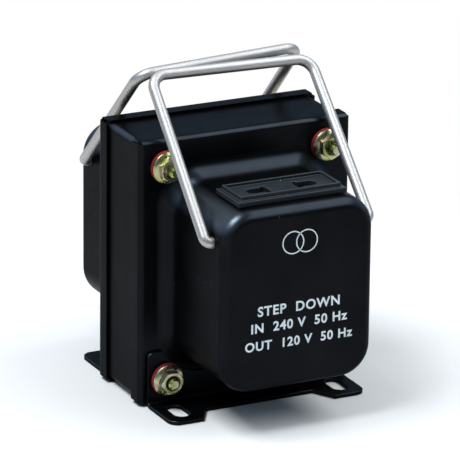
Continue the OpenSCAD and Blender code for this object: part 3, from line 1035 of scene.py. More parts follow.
@dataclass
class EndBell:
    """Pressed end bell with a flange and return lips."""

    layout: Layout
    side: Side
    corner_r: float = 12 * MM
    corner_steps: int = 14
    edge_r: float = 4.4 * MM
    fillet_r: float = 4.6 * MM
    side_fillet_r: float = 7.4 * MM
    top_fillet_r: float = 8.4 * MM
    flange_spread: float = 2.2
    bend_r: float = 2 * MM
    lip_over: float = 0.8 * MM
    pin_hole_r: float = 2.08 * MM
    outlet_rim: float = 2.3 * MM
    holder_hole_r: float = 6.05 * MM
    gland_hole_r: float = 5.05 * MM
    break_w: float = 0.22 * MM
    stud_bearing: float = 52
    stud_clear: float = 4
    stud_fade: float = 16
    foot_fade: float = 25

    def flat_half(self, across: Vector) -> float:
        """Half the flat flange's size along a direction."""
        half = (self.layout.cover_high - self.layout.cover_low) / 2
        return abs(across.x) * half.x + abs(across.z) * half.z - self.bend_r

    def press_bell(self) -> Piece:
        """Draw the bell out of a block, open at the back.

        Returns:
            The open bell.
        """
        lay = self.layout
        half = Vector((lay.wall_x, 0, lay.bell_h / 2))
        shell = block("bell", Vector((0, -lay.face_y, lay.mid_z)) - half, lay.middle + half)
        with editing(shell):
            round_along(shell, 1, self.corner_r, self.corner_steps)
            pick_edges(shell, lambda middle, run: middle.y < -lay.face_y + EPS)
            round_off(self.edge_r, ROUND_STEPS)
            pick_faces(shell, lambda middle, normal: normal.y > PARALLEL)
            bpy.ops.mesh.delete(type="FACE")
        return shell

    def spread_flange(self, shell: Piece) -> None:
        """Draw the flange out from the open edge of the bell and round the joint between them.

        Args:
            shell: The open bell.
        """
        lay = self.layout
        widest = self.top_fillet_r
        sides = (Vector((1, 0, 0)), Vector((-1, 0, 0)), Vector((0, 0, 1)), Vector((0, 0, -1)))
        with editing(shell):
            pick_edges(shell, lambda middle, run: middle.y > -lay.flange_y - EPS)
            push((0, 0, 0))
            stretch((self.flange_spread, 1, self.flange_spread), lay.middle)
            for across in sides:
                slice_at(lay.middle + across * self.flat_half(across), across, clear=True)
            weigh_edges(shell, lambda middle: self.fillet_at(middle) / widest)
        weights = {"limit_method": "WEIGHT", "use_clamp_overlap": False}
        apply_modifier(shell, "BEVEL", width=widest, segments=ROUND_STEPS, **weights)
        with editing(shell):
            for across in sides:
                self.fold_lip(shell, across)

    def fillet_at(self, middle: Vector) -> float:
        """Radius of the hollow fillet at an edge: wide along the bell, narrow at the washers and the foot.

        Args:
            middle: Middle of the edge.

        Returns:
            The radius, or 0 for an edge that isn't at the foot of the bell.
        """
        away = middle - self.layout.middle
        beside = abs(away.x) - self.layout.wall_x
        beyond = abs(away.z) - self.layout.bell_h / 2
        if max(beside, beyond, abs(away.y)) > EPS:
            return 0.0
        rise = math.degrees(math.atan2(max(beyond + self.corner_r, 0), max(beside + self.corner_r, 0)))
        if away.z < 0:
            narrow = min(1.0, rise / self.foot_fade)
            return self.side_fillet_r + (self.fillet_r - self.side_fillet_r) * narrow
        wide = self.side_fillet_r + (self.top_fillet_r - self.side_fillet_r) * rise / 90
        off_stud = (abs(rise - self.stud_bearing) - self.stud_clear) / self.stud_fade
        return self.fillet_r + (wide - self.fillet_r) * min(1.0, max(0.0, off_stud))

    def fold_lip(self, shell: Piece, across: Vector) -> None:
        """Fold one lip back from the flange and draw its ends towards the corners.

        Args:
            shell: The bell with its flange, open in edit mode.
            across: Direction from the middle to the lip.
        """
        middle = self.layout.middle
        half = self.flat_half(across)
        along = Vector((across.z, 0, across.x))
        half_length = self.flat_half(along)
        lip_end = self.layout.cover_high.y + self.layout.flange_y

        def on_lip(place: Vector) -> bool:
            """Tell whether a point is on the folded lip, and not on its neighbour's end."""
            away = place - middle
            return away.dot(across) > half + EPS and abs(away.dot(along)) < half_length + EPS

        pick_edges(shell, lambda place, run: abs((place - middle).dot(across) - half) < EPS)
        hub = middle + across * half + Vector((0, self.bend_r, 0))
        sweep(BEND_STEPS, math.pi / 2, hub, Vector((0, -1, 0)).cross(across))
        push((0, lip_end - self.bend_r, 0))
        pick_points(shell, on_lip)
        longer = 1 + self.lip_over / half_length
        stretch([longer if value else 1 for value in along], middle)

    def drill(self, shell: Piece) -> None:
        """Cut the stud holes and the pivot holes.

        Args:
            shell: The bell with its wall.
        """
        lay = self.layout
        for x, z in lay.studs():
            back = (x, -lay.flange_y + lay.sheet_t + OVERCUT, z)
            carve(shell, rod(back, (x, -lay.flange_y - OVERCUT, z), lay.hole_r))
        for hand in HANDS:
            self.drill_side(shell, hand, (-lay.pivot_y, lay.pivot_z), self.pin_hole_r)

    def drill_side(self, shell: Piece, hand: int, place: Range, radius: float) -> None:
        """Drill one hole in a side of the bell.

        Args:
            shell: The bell with its wall.
            hand: The side, -1 for the left and 1 for the right.
            place: Depth and height of the hole.
            radius: Its radius.
        """
        wall = self.layout.wall_x
        inner = hand * (wall - self.layout.sheet_t - OVERCUT)
        carve(shell, rod((inner, *place), (hand * (wall + OVERCUT), *place), radius))

    def open_up(self, shell: Piece) -> None:
        """Cut the outlet's opening in front, or the holder's and gland's holes behind.

        Args:
            shell: The bell in its place.
        """
        if self.side is Side.REAR:
            self.drill_side(shell, 1, side_axis("fuse_holder"), self.holder_hole_r)
            self.drill_side(shell, 1, side_axis("cord_gland"), self.gland_hole_r)
            return
        top, rim = self.layout.top_z, self.outlet_rim
        low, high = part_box("outlet_body")
        floor = (low.x + rim, low.y + rim, top - self.layout.sheet_t - OVERCUT)
        carve(shell, block("cutter", floor, (high.x - rim, high.y - rim, top + OVERCUT)))

    def dress_up(self, enamel: Paint) -> None:
        """Press, fold, drill and finish the bell, paint it and fix it to the frame.

        Args:
            enamel: Its finish.
        """
        shell = self.press_bell()
        self.spread_flange(shell)
        thicken(shell, self.layout.sheet_t, 1)
        self.drill(shell)
        turn_to(shell, self.side, "bell")
        self.open_up(shell)
        polish(shell, self.break_w)
        hand_over(shell, enamel, Body.CONVERTER, "black_steel", self.side.value + "_cover")


@dataclass
class CoreBand:
    """Steel band bent round the core, under the lips of both bells."""

    sheet_t: float = 1 * MM
    bend_r: float = 2.6 * MM
    break_w: float = 0.12 * MM

    def build(self) -> Piece:
        """Bend the band out of a block that is open at both ends.

        Returns:
            The band.
        """
        band = block("core_wrap", *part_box("core_band"))
        with editing(band):
            pick_faces(band, lambda middle, normal: abs(normal.y) > PARALLEL)
            bpy.ops.mesh.delete(type="FACE")
            round_along(band, 1, self.bend_r)
        apply_modifier(band, "SOLIDIFY", thickness=self.sheet_t, offset=-1)
        return polish(band, self.break_w)

    def dress_up(self, enamel: Paint) -> None:
        """Build the band, paint it and fix it to the frame."""
        hand_over(self.build(), enamel, Body.CONVERTER, "black_steel", "core_band")


@dataclass
class TieHardware:
    """Studs, flange nuts and fibre washers that clamp the core."""

    layout: Layout
    washer_t: float = 1.6 * MM
    washer_edge: float = 0.3 * MM
    nut_af: float = 8 * MM
    nut_h: float = 4.4 * MM
    nut_break: float = 0.16 * MM
    nut_sharp: float = 32
    nut_top: float = 0.47
    nut_chamfer: float = 60
    flange_r: float = 5.9 * MM
    flange_t: float = 1.2 * MM
    flange_edge: float = 0.15 * MM
    flange_fall: float = 0.5 * MM
    flange_upright: float = 0.55
    flange_under: float = 0.2 * MM
    bore_r: float = 2.58 * MM
    sink: float = 0.4 * MM
    sink_over: float = 0.25 * MM
    pitch: float = 0.8 * MM
    thread_depth: float = 0.35 * MM
    thread_turns: int = 14
    crest_share: Range = (0.4, 0.6)
    point_r: float = 2.2 * MM
    point_len: float = 3.2 * MM
    point_chamfer: float = 0.7 * MM
    point_run_out: float = 0.3 * MM
    nut_turns: tuple[float, ...] = (31, 7, 8, 58)
    round_sides: int = 64
    stud_sides: int = 36

    def stud(self) -> Piece:
        """Turn one stud with a thread and a plain point at each end.

        Returns:
            The stud, along Z, with its foot on the origin.
        """
        length = 2 * self.layout.stud_reach
        crest = self.layout.stud_r
        root = crest - self.thread_depth
        tip = self.point_len + self.point_run_out
        half: list[Range] = [
            (0, self.point_r - self.point_chamfer),
            (self.point_chamfer, self.point_r),
            (self.point_len, self.point_r),
            (tip, root),
        ]
        for turn in range(self.thread_turns):
            start = tip + turn * self.pitch
            half += [(start + share * self.pitch, crest) for share in self.crest_share]
            half.append((start + self.pitch, root))
        half.append((tip + (self.thread_turns + 1) * self.pitch, crest))
        stations = half + [(length - height, radius) for height, radius in reversed(half)]
        return polish(turned("stud", stations, self.stud_sides))

    def nut(self) -> Piece:
        """Make one flange nut.

        Returns:
            The nut, standing on the origin.
        """
        corner_r = self.nut_af / 2 / math.cos(math.pi / 6)
        top_r = self.nut_top * self.nut_af
        slope = math.tan(math.radians(self.nut_chamfer))
        nut = turned("nut", [(0, corner_r), (self.nut_h, corner_r)], 6)
        chamfer = [(-MM, top_r + (self.nut_h + MM) * slope), (self.nut_h, top_r)]
        carve(nut, turned("trim", chamfer, self.round_sides), "INTERSECT")
        collar = [
            (0, self.flange_r - self.flange_edge),
            (self.flange_edge, self.flange_r),
            (self.flange_upright * self.flange_t, self.flange_r),
            (self.flange_t, self.flange_r - self.flange_fall),
            (self.flange_t + self.flange_fall, corner_r - self.flange_under),
        ]
        carve(nut, turned("collar", collar, self.round_sides), "UNION")
        bore = [
            (-MM, self.bore_r),
            (self.nut_h - self.sink, self.bore_r),
            (self.nut_h + self.sink_over, self.bore_r + self.sink + self.sink_over),
        ]
        carve(nut, turned("bore", bore))
        return polish(nut, self.nut_break, sharp=self.nut_sharp)

    def washer(self) -> Piece:
        """Make one fibre washer.

        Returns:
            The washer, standing on the origin.
        """
        outer = self.layout.washer_r
        edge = self.washer_edge
        stations = [
            (0, self.bore_r),
            (0, outer - edge),
            (edge, outer),
            (self.washer_t - edge, outer),
            (self.washer_t, outer - edge),
            (self.washer_t, self.bore_r),
            (0, self.bore_r),
        ]
        return polish(turned("washer", stations, self.round_sides, ring=True))

    def on_flange(self, model: Piece, lift: float, turns: Sequence[float], side: Side, name: str) -> Piece:
        """Set copies of a model at the four studs of one end.

        Args:
            model: The piece to copy, which is used up.
            lift: Height above the flange, or above the foot at the lower studs.
            turns: Turn of each copy about its stud, in degrees.
            side: The end.
            name: Name of the joined copies.

        Returns:
            The joined copies.
        """
        lay = self.layout
        copies = []
        for (x, z), turn in zip(lay.studs(), turns):
            under = lay.foot_t if z < lay.mid_z else 0
            piece = copied(model, name)
            piece.rotation_euler = Euler((0, 0, math.radians(turn)))
            settle(piece)
            copies.append(set_along(piece, (x, -lay.flange_y - under - lift, z), (0, -1, 0)))
        bpy.data.objects.remove(model)
        return turn_to(joined(copies, name), side, name)

    def dress_up(self, zinc: Paint, fibre: Paint) -> None:
        """Build the hardware of both ends, dress it and fix it to the frame.

        Args:
            zinc: Finish of the studs and nuts.
            fibre: Finish of the washers.
        """
        studs = []
        model = self.stud()
        for x, z in self.layout.studs():
            studs.append(set_along(copied(model, "stud"), (x, self.layout.stud_reach, z), (0, -1, 0)))
        bpy.data.objects.remove(model)
        hand_over(joined(studs, "threaded_studs"), zinc, Body.CONVERTER, "yellow_zinc", "tie_studs")
        unturned = (0, 0, 0, 0)
        for side in Side:
            nuts = self.on_flange(self.nut(), self.washer_t, self.nut_turns, side, "flange_nuts")
            hand_over(nuts, zinc, Body.CONVERTER, "yellow_zinc", side.value + "_nuts")
            rings = self.on_flange(self.washer(), 0, unturned, side, "fibre_washers")
            hand_over(rings, fibre, Body.CONVERTER, "red_fibre", side.value + "_washers")


@dataclass
class FootBracket:
    """Bent sheet foot with two slotted tabs, clamped by the lower studs."""

    layout: Layout
    side: Side
    width: float = 78.5 * MM
    ear_h: float = 21 * MM
    bend_r: float = 2.5 * MM
    tab_reach: float = 21.8 * MM
    strip_reach: float = 13.2 * MM
    tab_w: float = 12.6 * MM
    tab_flare: float = 5 * MM
    corner_r: float = 4 * MM
    corner_steps: int = 8
    ear_corner_r: float = 2.4 * MM
    slot_w: float = 6 * MM
    slot_l: float = 12 * MM
    slot_back: float = 10.3 * MM
    slot_over: float = 0.4 * MM
    arch_w: float = 70 * MM
    arch_h: float = 78 * MM
    arch_corner_r: float = 17 * MM
    arch_over: float = 0.6 * MM
    break_w: float = 0.25 * MM

    def ahead(self, place: Vector) -> float:
        """Distance of a place in front of the flange."""
        return -place.y - self.layout.flange_y

    def at_tab_end(self, place: Vector, x: float) -> bool:
        """Tell whether a point is the corner of a tab's front edge at this place across."""
        return self.ahead(place) > self.tab_reach - EPS and abs(place.x - x) < EPS

    def at_ear_corner(self, place: Vector, hand: int) -> bool:
        """Tell whether a point is the upper corner of the upright on one side."""
        return place.z > self.ear_h - EPS and place.x * hand > self.width / 2 - EPS

    def cut_blank(self) -> Piece:
        """Cut the level leg and bend the upright out of it.

        Returns:
            The underside and back of the foot, as a sheet with no thickness.
        """
        front_y = -self.layout.flange_y - self.strip_reach
        bend_y = -self.layout.flange_y - self.bend_r
        middle_y = (front_y + bend_y) / 2
        bpy.ops.mesh.primitive_plane_add(size=1, location=(0, middle_y, 0), rotation=(math.pi, 0, 0))
        blank = bpy.context.object
        blank.scale = (self.width, bend_y - front_y, 1)
        settle(blank, "foot")
        tab_x = self.width / 2 - self.tab_w - self.tab_flare
        front = self.strip_reach - EPS
        with editing(blank):
            for hand in HANDS:
                slice_at((hand * tab_x, 0, 0), (1, 0, 0), clear=False)
            pick_edges(blank, lambda middle, run: abs(middle.x) > tab_x and self.ahead(middle) > front)
            push((0, self.strip_reach - self.tab_reach, 0))
            for hand in HANDS:
                pick_points(blank, lambda place: self.at_tab_end(place, hand * tab_x))
                shift((hand * self.tab_flare, 0, 0))
                pick_points(blank, lambda place: self.at_tab_end(place, hand * self.width / 2))
                round_off(self.corner_r, self.corner_steps, points=True)
            pick_edges(blank, lambda middle, run: self.ahead(middle) < self.bend_r + EPS)
            sweep(BEND_STEPS, math.pi / 2, (0, bend_y, self.bend_r), (1, 0, 0))
            push((0, 0, self.ear_h - self.bend_r))
            for hand in HANDS:
                pick_points(blank, lambda place: self.at_ear_corner(place, hand))
                round_off(self.ear_corner_r, BEND_STEPS, points=True)
        return blank

    def pierce(self, foot: Piece) -> None:
        """Cut the arch round the bell, the stud holes and the slots.

        Args:
            foot: The foot with its thickness.
        """
        lay = self.layout
        back, front = -lay.flange_y + OVERCUT, -lay.flange_y - lay.foot_t - self.arch_over
        half = Vector((self.arch_w / 2, 0, self.arch_h / 2))
        low = Vector((0, front, lay.mid_z)) - half
        high = Vector((0, back, lay.mid_z)) + half
        carve(foot, rounded_block("arch", low, high, 1, self.arch_corner_r))
        half = Vector((self.slot_w / 2, self.slot_l / 2, 0))
        for hand in HANDS:
            x, z = hand * lay.stud_x, lay.mid_z - lay.stud_dz
            carve(foot, rod((x, back, z), (x, front, z), lay.hole_r))
            middle = Vector((x, -lay.flange_y - self.tab_reach + self.slot_back, 0))
            low = middle - half - Vector((0, 0, OVERCUT))
            high = middle + half + Vector((0, 0, lay.foot_t + self.slot_over))
            carve(foot, rounded_block("slot", low, high, 2, self.slot_w / 2 - EPS))

    def dress_up(self, enamel: Paint) -> None:
        """Cut, bend and pierce the foot, paint it and fix it to the frame.

        Args:
            enamel: Its finish.
        """
        foot = self.cut_blank()
        thicken(foot, self.layout.foot_t, 2)
        self.pierce(foot)
        polish(turn_to(foot, self.side, "foot_bracket"), self.break_w, steps=3)
        hand_over(foot, enamel, Body.CONVERTER, "black_steel", self.side.value + "_foot")


@dataclass
class BailHandle:
    """Wire bail whose ends turn into the sides of a bell."""

    layout: Layout
    side: Side
    wire_r: float = 2 * MM
    wire_sides: int = 32
    leg_len: float = 67 * MM
    leg_x: float = 32.5 * MM
    low_leg: float = 44.07
    skew: float = 2.4
    pin_x: float = 24 * MM
    pin_bend_r: float = 2.4 * MM
    grip_bend_r: float = 6 * MM
    bend_steps: int = 14
    end_break: float = 0.3 * MM
    end_sharp: float = 50
    line_stretch: float = 0.03

    def corners(self) -> list[Vector]:
        """Find the corners of the wire's centre line.

        Returns:
            The corners, from one pin to the other.
        """

        def pivot(x: float) -> Vector:
            """Point on the pivots' axis."""
            return Vector((x, -self.layout.pivot_y, self.layout.pivot_z))

        def tip(hand: int, angle: float) -> Vector:
            """Upper end of a leg at this angle."""
            lean = math.radians(angle)
            return pivot(hand * self.leg_x) + self.leg_len * Vector((0, math.cos(lean), math.sin(lean)))

        return [
            pivot(-self.pin_x),
            pivot(-self.leg_x),
            tip(-1, self.low_leg + self.skew),
            tip(1, self.low_leg),
            pivot(self.leg_x),
            pivot(self.pin_x),
        ]

    def bend_wire(self) -> tuple[Piece, list[Vector]]:
        """Run a round section along straight stretches and spin it round the bends.

        Returns:
            The wire, with both ends closed, and the ends of its straight stretches.
        """
        points = self.corners()
        radii = (self.pin_bend_r, self.grip_bend_r, self.grip_bend_r, self.pin_bend_r)
        bpy.ops.mesh.primitive_circle_add(
            vertices=self.wire_sides, radius=self.wire_r, fill_type="NGON",
            location=points[0], rotation=(0, -math.pi / 2, 0),
        )
        wire = settle(bpy.context.object, "bail")
        line = [points[0]]
        with editing(wire):
            bpy.ops.mesh.select_all(action="SELECT")
            for before, corner, after, radius in zip(points, points[1:], points[2:], radii):
                come, go = (corner - before).normalized(), (after - corner).normalized()
                angle = come.angle(go)
                cut = radius * math.tan(angle / 2)
                start = corner - come * cut
                inward = (go - go.dot(come) * come).normalized()
                push(start - line[-1])
                sweep(self.bend_steps, angle, start + inward * radius, come.cross(go))
                line += [start, corner + go * cut]
            push(points[-1] - line[-1])
            line.append(points[-1])
        heal(wire)
        return wire, line

    def mark_run(self, wire: Piece, line: Sequence[Vector]) -> None:
        """Store coordinates that follow the wire, so that its drawn lines run along it.

        Args:
            wire: The bent wire, still at the front.
            line: Ends of its straight stretches.
        """
        store = wire.data.attributes.new(WIRE_RUN, "FLOAT_VECTOR", "POINT")
        for vert, item in zip(wire.data.vertices, store.data):
            stretches = []
            travelled = 0.0
            for start, end in zip(line, line[1:]):
                run = end - start
                share = min(1.0, max(0.0, (vert.co - start).dot(run) / run.length_squared))
                stretches.append((vert.co - (start + run * share), travelled + share * run.length))
                travelled += run.length
            away, length = min(stretches, key=lambda stretch_at: stretch_at[0].length)
            item.vector = (away.x, away.y - away.z, length * self.line_stretch)

    def dress_up(self, steel: Paint) -> None:
        """Bend the bail, dress it and fix it to its own body.

        Args:
            steel: Its finish.
        """
        wire, line = self.bend_wire()
        self.mark_run(wire, line)
        polish(turn_to(wire, self.side, "bail"), self.end_break, steps=3, sharp=self.end_sharp)
        body = Body.FRONT_HANDLE if self.side is Side.FRONT else Body.REAR_HANDLE
        hand_over(wire, steel, body, "bright_wire", self.side.value + "_handle")


@dataclass
class Outlet:
    """Two-pole outlet in a stepped plastic plate on top of the front bell."""

    layout: Layout
    step_h: float = 2 * MM
    ledge: float = 1.5 * MM
    frame_h: float = 1.6 * MM
    frame_w: float = 1 * MM
    recess: float = 1.2 * MM
    skin: float = 2 * MM
    pin_pitch: float = 19 * MM
    pin_l: float = 8.6 * MM
    pin_d: float = 5 * MM
    pin_corner_r: float = 2.45 * MM
    blade_pitch: float = 12.7 * MM
    blade_l: float = 7 * MM
    blade_w: float = 2 * MM
    pocket_w: float = 9.8 * MM
    pocket_d: float = 8.2 * MM
    break_w: float = 0.28 * MM

    def mould(self) -> Piece:
        """Raise the steps, the frame and the body out of the plate.

        Returns:
            The outlet with no holes.
        """
        low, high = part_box("outlet_body")
        top = self.layout.top_z
        plate = block("outlet_plate", (low.x, low.y, top), (high.x, high.y, top + self.step_h))
        with editing(plate):
            pick_faces(plate, lambda middle, normal: normal.z > PARALLEL)
            bpy.ops.mesh.inset(thickness=self.ledge)
            push((0, 0, self.frame_h))
            bpy.ops.mesh.inset(thickness=self.frame_w)
            push((0, 0, -self.recess))
            pick_faces(plate, lambda middle, normal: normal.z < -PARALLEL)
            bpy.ops.mesh.inset(thickness=self.ledge + self.frame_w)
            push((0, 0, low.z - top))
        return plate

    def build(self) -> Piece:
        """Mould the outlet and pierce its pin holes and pockets.

        Returns:
            The outlet in its place.
        """
        plate = self.mould()
        low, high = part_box("outlet_body")
        mid_y = (low.y + high.y) / 2
        pocket_z = high.z - self.recess - self.skin

        def corners(x: float, width: float, depth: float, bottom: float, top: float) -> tuple[Place, Place]:
            """Corners of a cutter that is centred on the outlet's long axis."""
            return (x - width / 2, mid_y - depth / 2, bottom), (x + width / 2, mid_y + depth / 2, top)

        through = (pocket_z - MM, high.z + MM)
        for hand in HANDS:
            pin_x, blade_x = hand * self.pin_pitch / 2, hand * self.blade_pitch / 2
            pocket = corners(pin_x, self.pocket_w, self.pocket_d, low.z - MM, pocket_z)
            carve(plate, block("pocket", *pocket))
            pin = corners(pin_x, self.pin_l, self.pin_d, *through)
            carve(plate, rounded_block("pin", *pin, 2, self.pin_corner_r))
            blade = corners(blade_x, self.blade_w, self.blade_l, *through)
            carve(plate, block("blade", *blade))
        return polish(plate, self.break_w, steps=3)

    def dress_up(self, plastic: Paint) -> None:
        """Build the outlet, dress it and fix it to the frame."""
        hand_over(self.build(), plastic, Body.CONVERTER, "outlet_plastic", "outlet_body")


@dataclass
class FuseHolder:
    """Panel fuse holder with a knurled cap, in the side of the rear bell."""

    layout: Layout
    body_r: float = 6 * MM
    body_edge: float = 0.5 * MM
    rim_r: float = 7.5 * MM
    # Drop from the rim's top and step in from its side, along its rounded edge
    rim_round: tuple[Range, ...] = ((0.5 * MM, 0), (0.15 * MM, 0.3 * MM), (0, 0.8 * MM))
    bore_r: float = 3.2 * MM
    bore_edge: float = 0.3 * MM
    fuse_foot_x: float = 6.8 * MM
    terminal_r: float = 1.55 * MM
    holder_sides: int = 56
    holder_sharp: float = 35
    stem_r: float = 3.12 * MM
    cap_r: float = 5.5 * MM
    cap_gap: float = 0.05 * MM
    cap_break: float = 0.08 * MM
    cap_sharp: float = 50
    skirt_h: float = 0.8 * MM
    groove_from: float = 1.2 * MM
    groove_share: float = 0.93
    ribs: int = 36
    crown: float = 0.9 * MM
    # Drop from the cap's top and step in from its side, as shares of the crown
    crown_round: tuple[Range, ...] = ((1, 0), (1 / 3, 1 / 2), (0, 1.4))
    coin_w: float = 1.4 * MM
    coin_d: float = 1.3 * MM

    def holder(self) -> Piece:
        """Turn the holder's body and rim.

        Returns:
            The holder in its place.
        """
        low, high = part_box("fuse_holder")
        wall = self.layout.wall_x
        profile = [
            (low.x, self.terminal_r),
            (low.x, self.body_r - self.body_edge),
            (low.x + self.body_edge, self.body_r),
            (wall, self.body_r),
            (wall, self.rim_r),
            *((high.x - drop, self.rim_r - step) for drop, step in self.rim_round),
            (high.x, self.bore_r + self.bore_edge),
            (high.x - self.bore_edge, self.bore_r),
            (self.fuse_foot_x, self.bore_r),
            (self.fuse_foot_x, self.terminal_r),
            (low.x, self.terminal_r),
        ]
        piece = turned("panel_fuse_holder", profile, self.holder_sides, ring=True)
        return polish(set_in_side(piece, "fuse_holder"), sharp=self.holder_sharp)

    def cap(self) -> Piece:
        """Make the knurled cap with its stem and coin slot.

        Returns:
            The cap in its place.
        """
        low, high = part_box("fuse_cap")
        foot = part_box("fuse_holder")[1].x + self.cap_gap
        crown_round = [(drop * self.crown, step * self.crown) for drop, step in self.crown_round]
        stations = [
            (low.x, self.stem_r),
            (foot, self.stem_r),
            (foot, self.cap_r),
            (foot + self.skirt_h, self.cap_r),
            (foot + self.groove_from, self.cap_r),
            *((high.x - drop, self.cap_r - step) for drop, step in crown_round),
        ]
        cap = turned("knurled_fuse_cap", stations, 2 * self.ribs)
        skirt_end = foot + (self.skirt_h + self.groove_from) / 2
        with editing(cap):
            pick_points(cap, lambda place: self.in_groove(place, skirt_end, high.x - self.crown))
            stretch((self.groove_share, self.groove_share, 1), (0, 0, 0))
        half = self.coin_w / 2
        coin = block("coin", (-half, -self.cap_r, high.x - self.coin_d), (half, self.cap_r, high.x + MM))
        carve(cap, coin)
        return polish(set_in_side(cap, "fuse_holder"), self.cap_break, sharp=self.cap_sharp)

    def in_groove(self, place: Vector, low: float, high: float) -> bool:
        """Tell whether a point of the standing cap lies in one of its grooves.

        Args:
            place: The point.
            low: Lower end of the grooves.
            high: Their upper end.

        Returns:
            Whether it does.
        """
        step = math.atan2(place.y, place.x) * self.ribs / math.pi
        outside = place.xy.length > self.cap_r - EPS
        return outside and low < place.z < high + EPS and round(step) % 2 == 1

    def dress_up(self, plastic: Paint) -> None:
        """Build the holder and its cap, dress them and fix them to their bodies."""
        hand_over(self.holder(), plastic, Body.CONVERTER, "fuse_plastic", "fuse_holder")
        hand_over(self.cap(), plastic, Body.FUSE_CARRIER, "fuse_plastic", "fuse_cap")


@dataclass
class CordGland:
    """Rubber gland that guards the cord's hole in the rear bell."""

    layout: Layout
    bore_r: float = 3.5 * MM
    neck_r: float = 5 * MM
    inner_rim_r: float = 5.5 * MM
    rim_r: float = 7 * MM
    rim_slope: float = 1 * MM
    rim_top: float = 1.6 * MM
    lip: float = 0.4 * MM
    sides: int = 56
    sharp: float = 50

    def build(self) -> Piece:
        """Turn the gland.

        Returns:
            The gland in its place.
        """
        low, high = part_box("cord_gland")
        outside = self.layout.wall_x
        inside = outside - self.layout.sheet_t
        profile = [
            (low.x, self.bore_r + self.lip),
            (low.x, self.inner_rim_r - self.lip),
            (low.x + self.lip, self.inner_rim_r),
            (inside, self.inner_rim_r),
            (inside, self.neck_r),
            (outside, self.neck_r),
            (outside, self.rim_r),
            (outside + self.lip, self.rim_r),
            (high.x - self.lip, self.rim_r - self.rim_slope),
            (high.x, self.rim_r - self.rim_top),
            (high.x, self.bore_r + self.lip),
            (high.x - self.lip, self.bore_r),
            (low.x + self.lip, self.bore_r),
            (low.x, self.bore_r + self.lip),
        ]
        piece = turned("rubber_cord_gland", profile, self.sides, ring=True)
        return polish(set_in_side(piece, "cord_gland"), sharp=self.sharp)

    def dress_up(self, rubber: Paint) -> None:
        """Build the gland, dress it and fix it to the frame."""
        hand_over(self.build(), rubber, Body.CONVERTER, "gland_rubber", "cord_gland")


@dataclass
class FrontPrint:
    """Plain printed marks on the front bell: a transformer sign and its voltages."""

    layout: Layout
    ink_t: float = 0.05 * MM
    ink_gain: float = 0.12 * MM
    sign_z: float = 71 * MM
    sign_r: float = 4.3 * MM
    sign_gap: float = 2.7 * MM
    sign_sides: int = 64
    stroke: float = 0.42 * MM
    # Words, height of their foot line and height of their capitals
    rows: tuple[tuple[str, float, float], ...] = (
        ("STEP  DOWN", 45.3 * MM, 3.6 * MM),
        ("IN  240 V  50 Hz", 39.2 * MM, 3.5 * MM),
        ("OUT  120 V  50 Hz", 32.6 * MM, 3.4 * MM),
    )
    capital_share: float = 0.72
    letter_gap: float = 1.12
    curve_steps: int = 4

    def ring(self, hand: int) -> Piece:
        """Print one of the two linked rings, the common sign for a transformer.

        Args:
            hand: The ring, -1 for the left and 1 for the right.

        Returns:
            The ring as a thin mesh.
        """
        inner, outer, top = self.sign_r - self.stroke, self.sign_r, self.ink_t
        profile = [(0, inner), (0, outer), (top, outer), (top, inner), (0, inner)]
        ring = turned("ring", profile, self.sign_sides, ring=True)
        return set_along(ring, (hand * self.sign_gap, -self.layout.face_y, self.sign_z), (0, -1, 0))

    def row(self, words: str, z: float, height: float) -> Piece:
        """Print one row of plain words and numbers.

        Args:
            words: The row.
            z: Height of its foot line.
            height: Height of its capitals.

        Returns:
            The row as a thin mesh.
        """
        bpy.ops.object.text_add(location=(0, -self.layout.face_y, z), rotation=(math.pi / 2, 0, 0))
        text = bpy.context.object
        text.data.body = words
        text.data.size = height / self.capital_share
        text.data.align_x = "CENTER"
        text.data.extrude = self.ink_t
        text.data.offset = self.ink_gain
        text.data.space_character = self.letter_gap
        text.data.resolution_u = self.curve_steps
        only(text)
        bpy.ops.object.convert(target="MESH")
        return settle(bpy.context.object)

    def dress_up(self, ink: Paint) -> None:
        """Print the marks and fix them to the frame.

        Args:
            ink: Their finish.
        """
        marks = [self.ring(hand) for hand in HANDS] + [self.row(*row) for row in self.rows]
        piece = joined(marks, "front_print")
        heal(piece)
        hand_over(piece, ink, Body.CONVERTER, "")


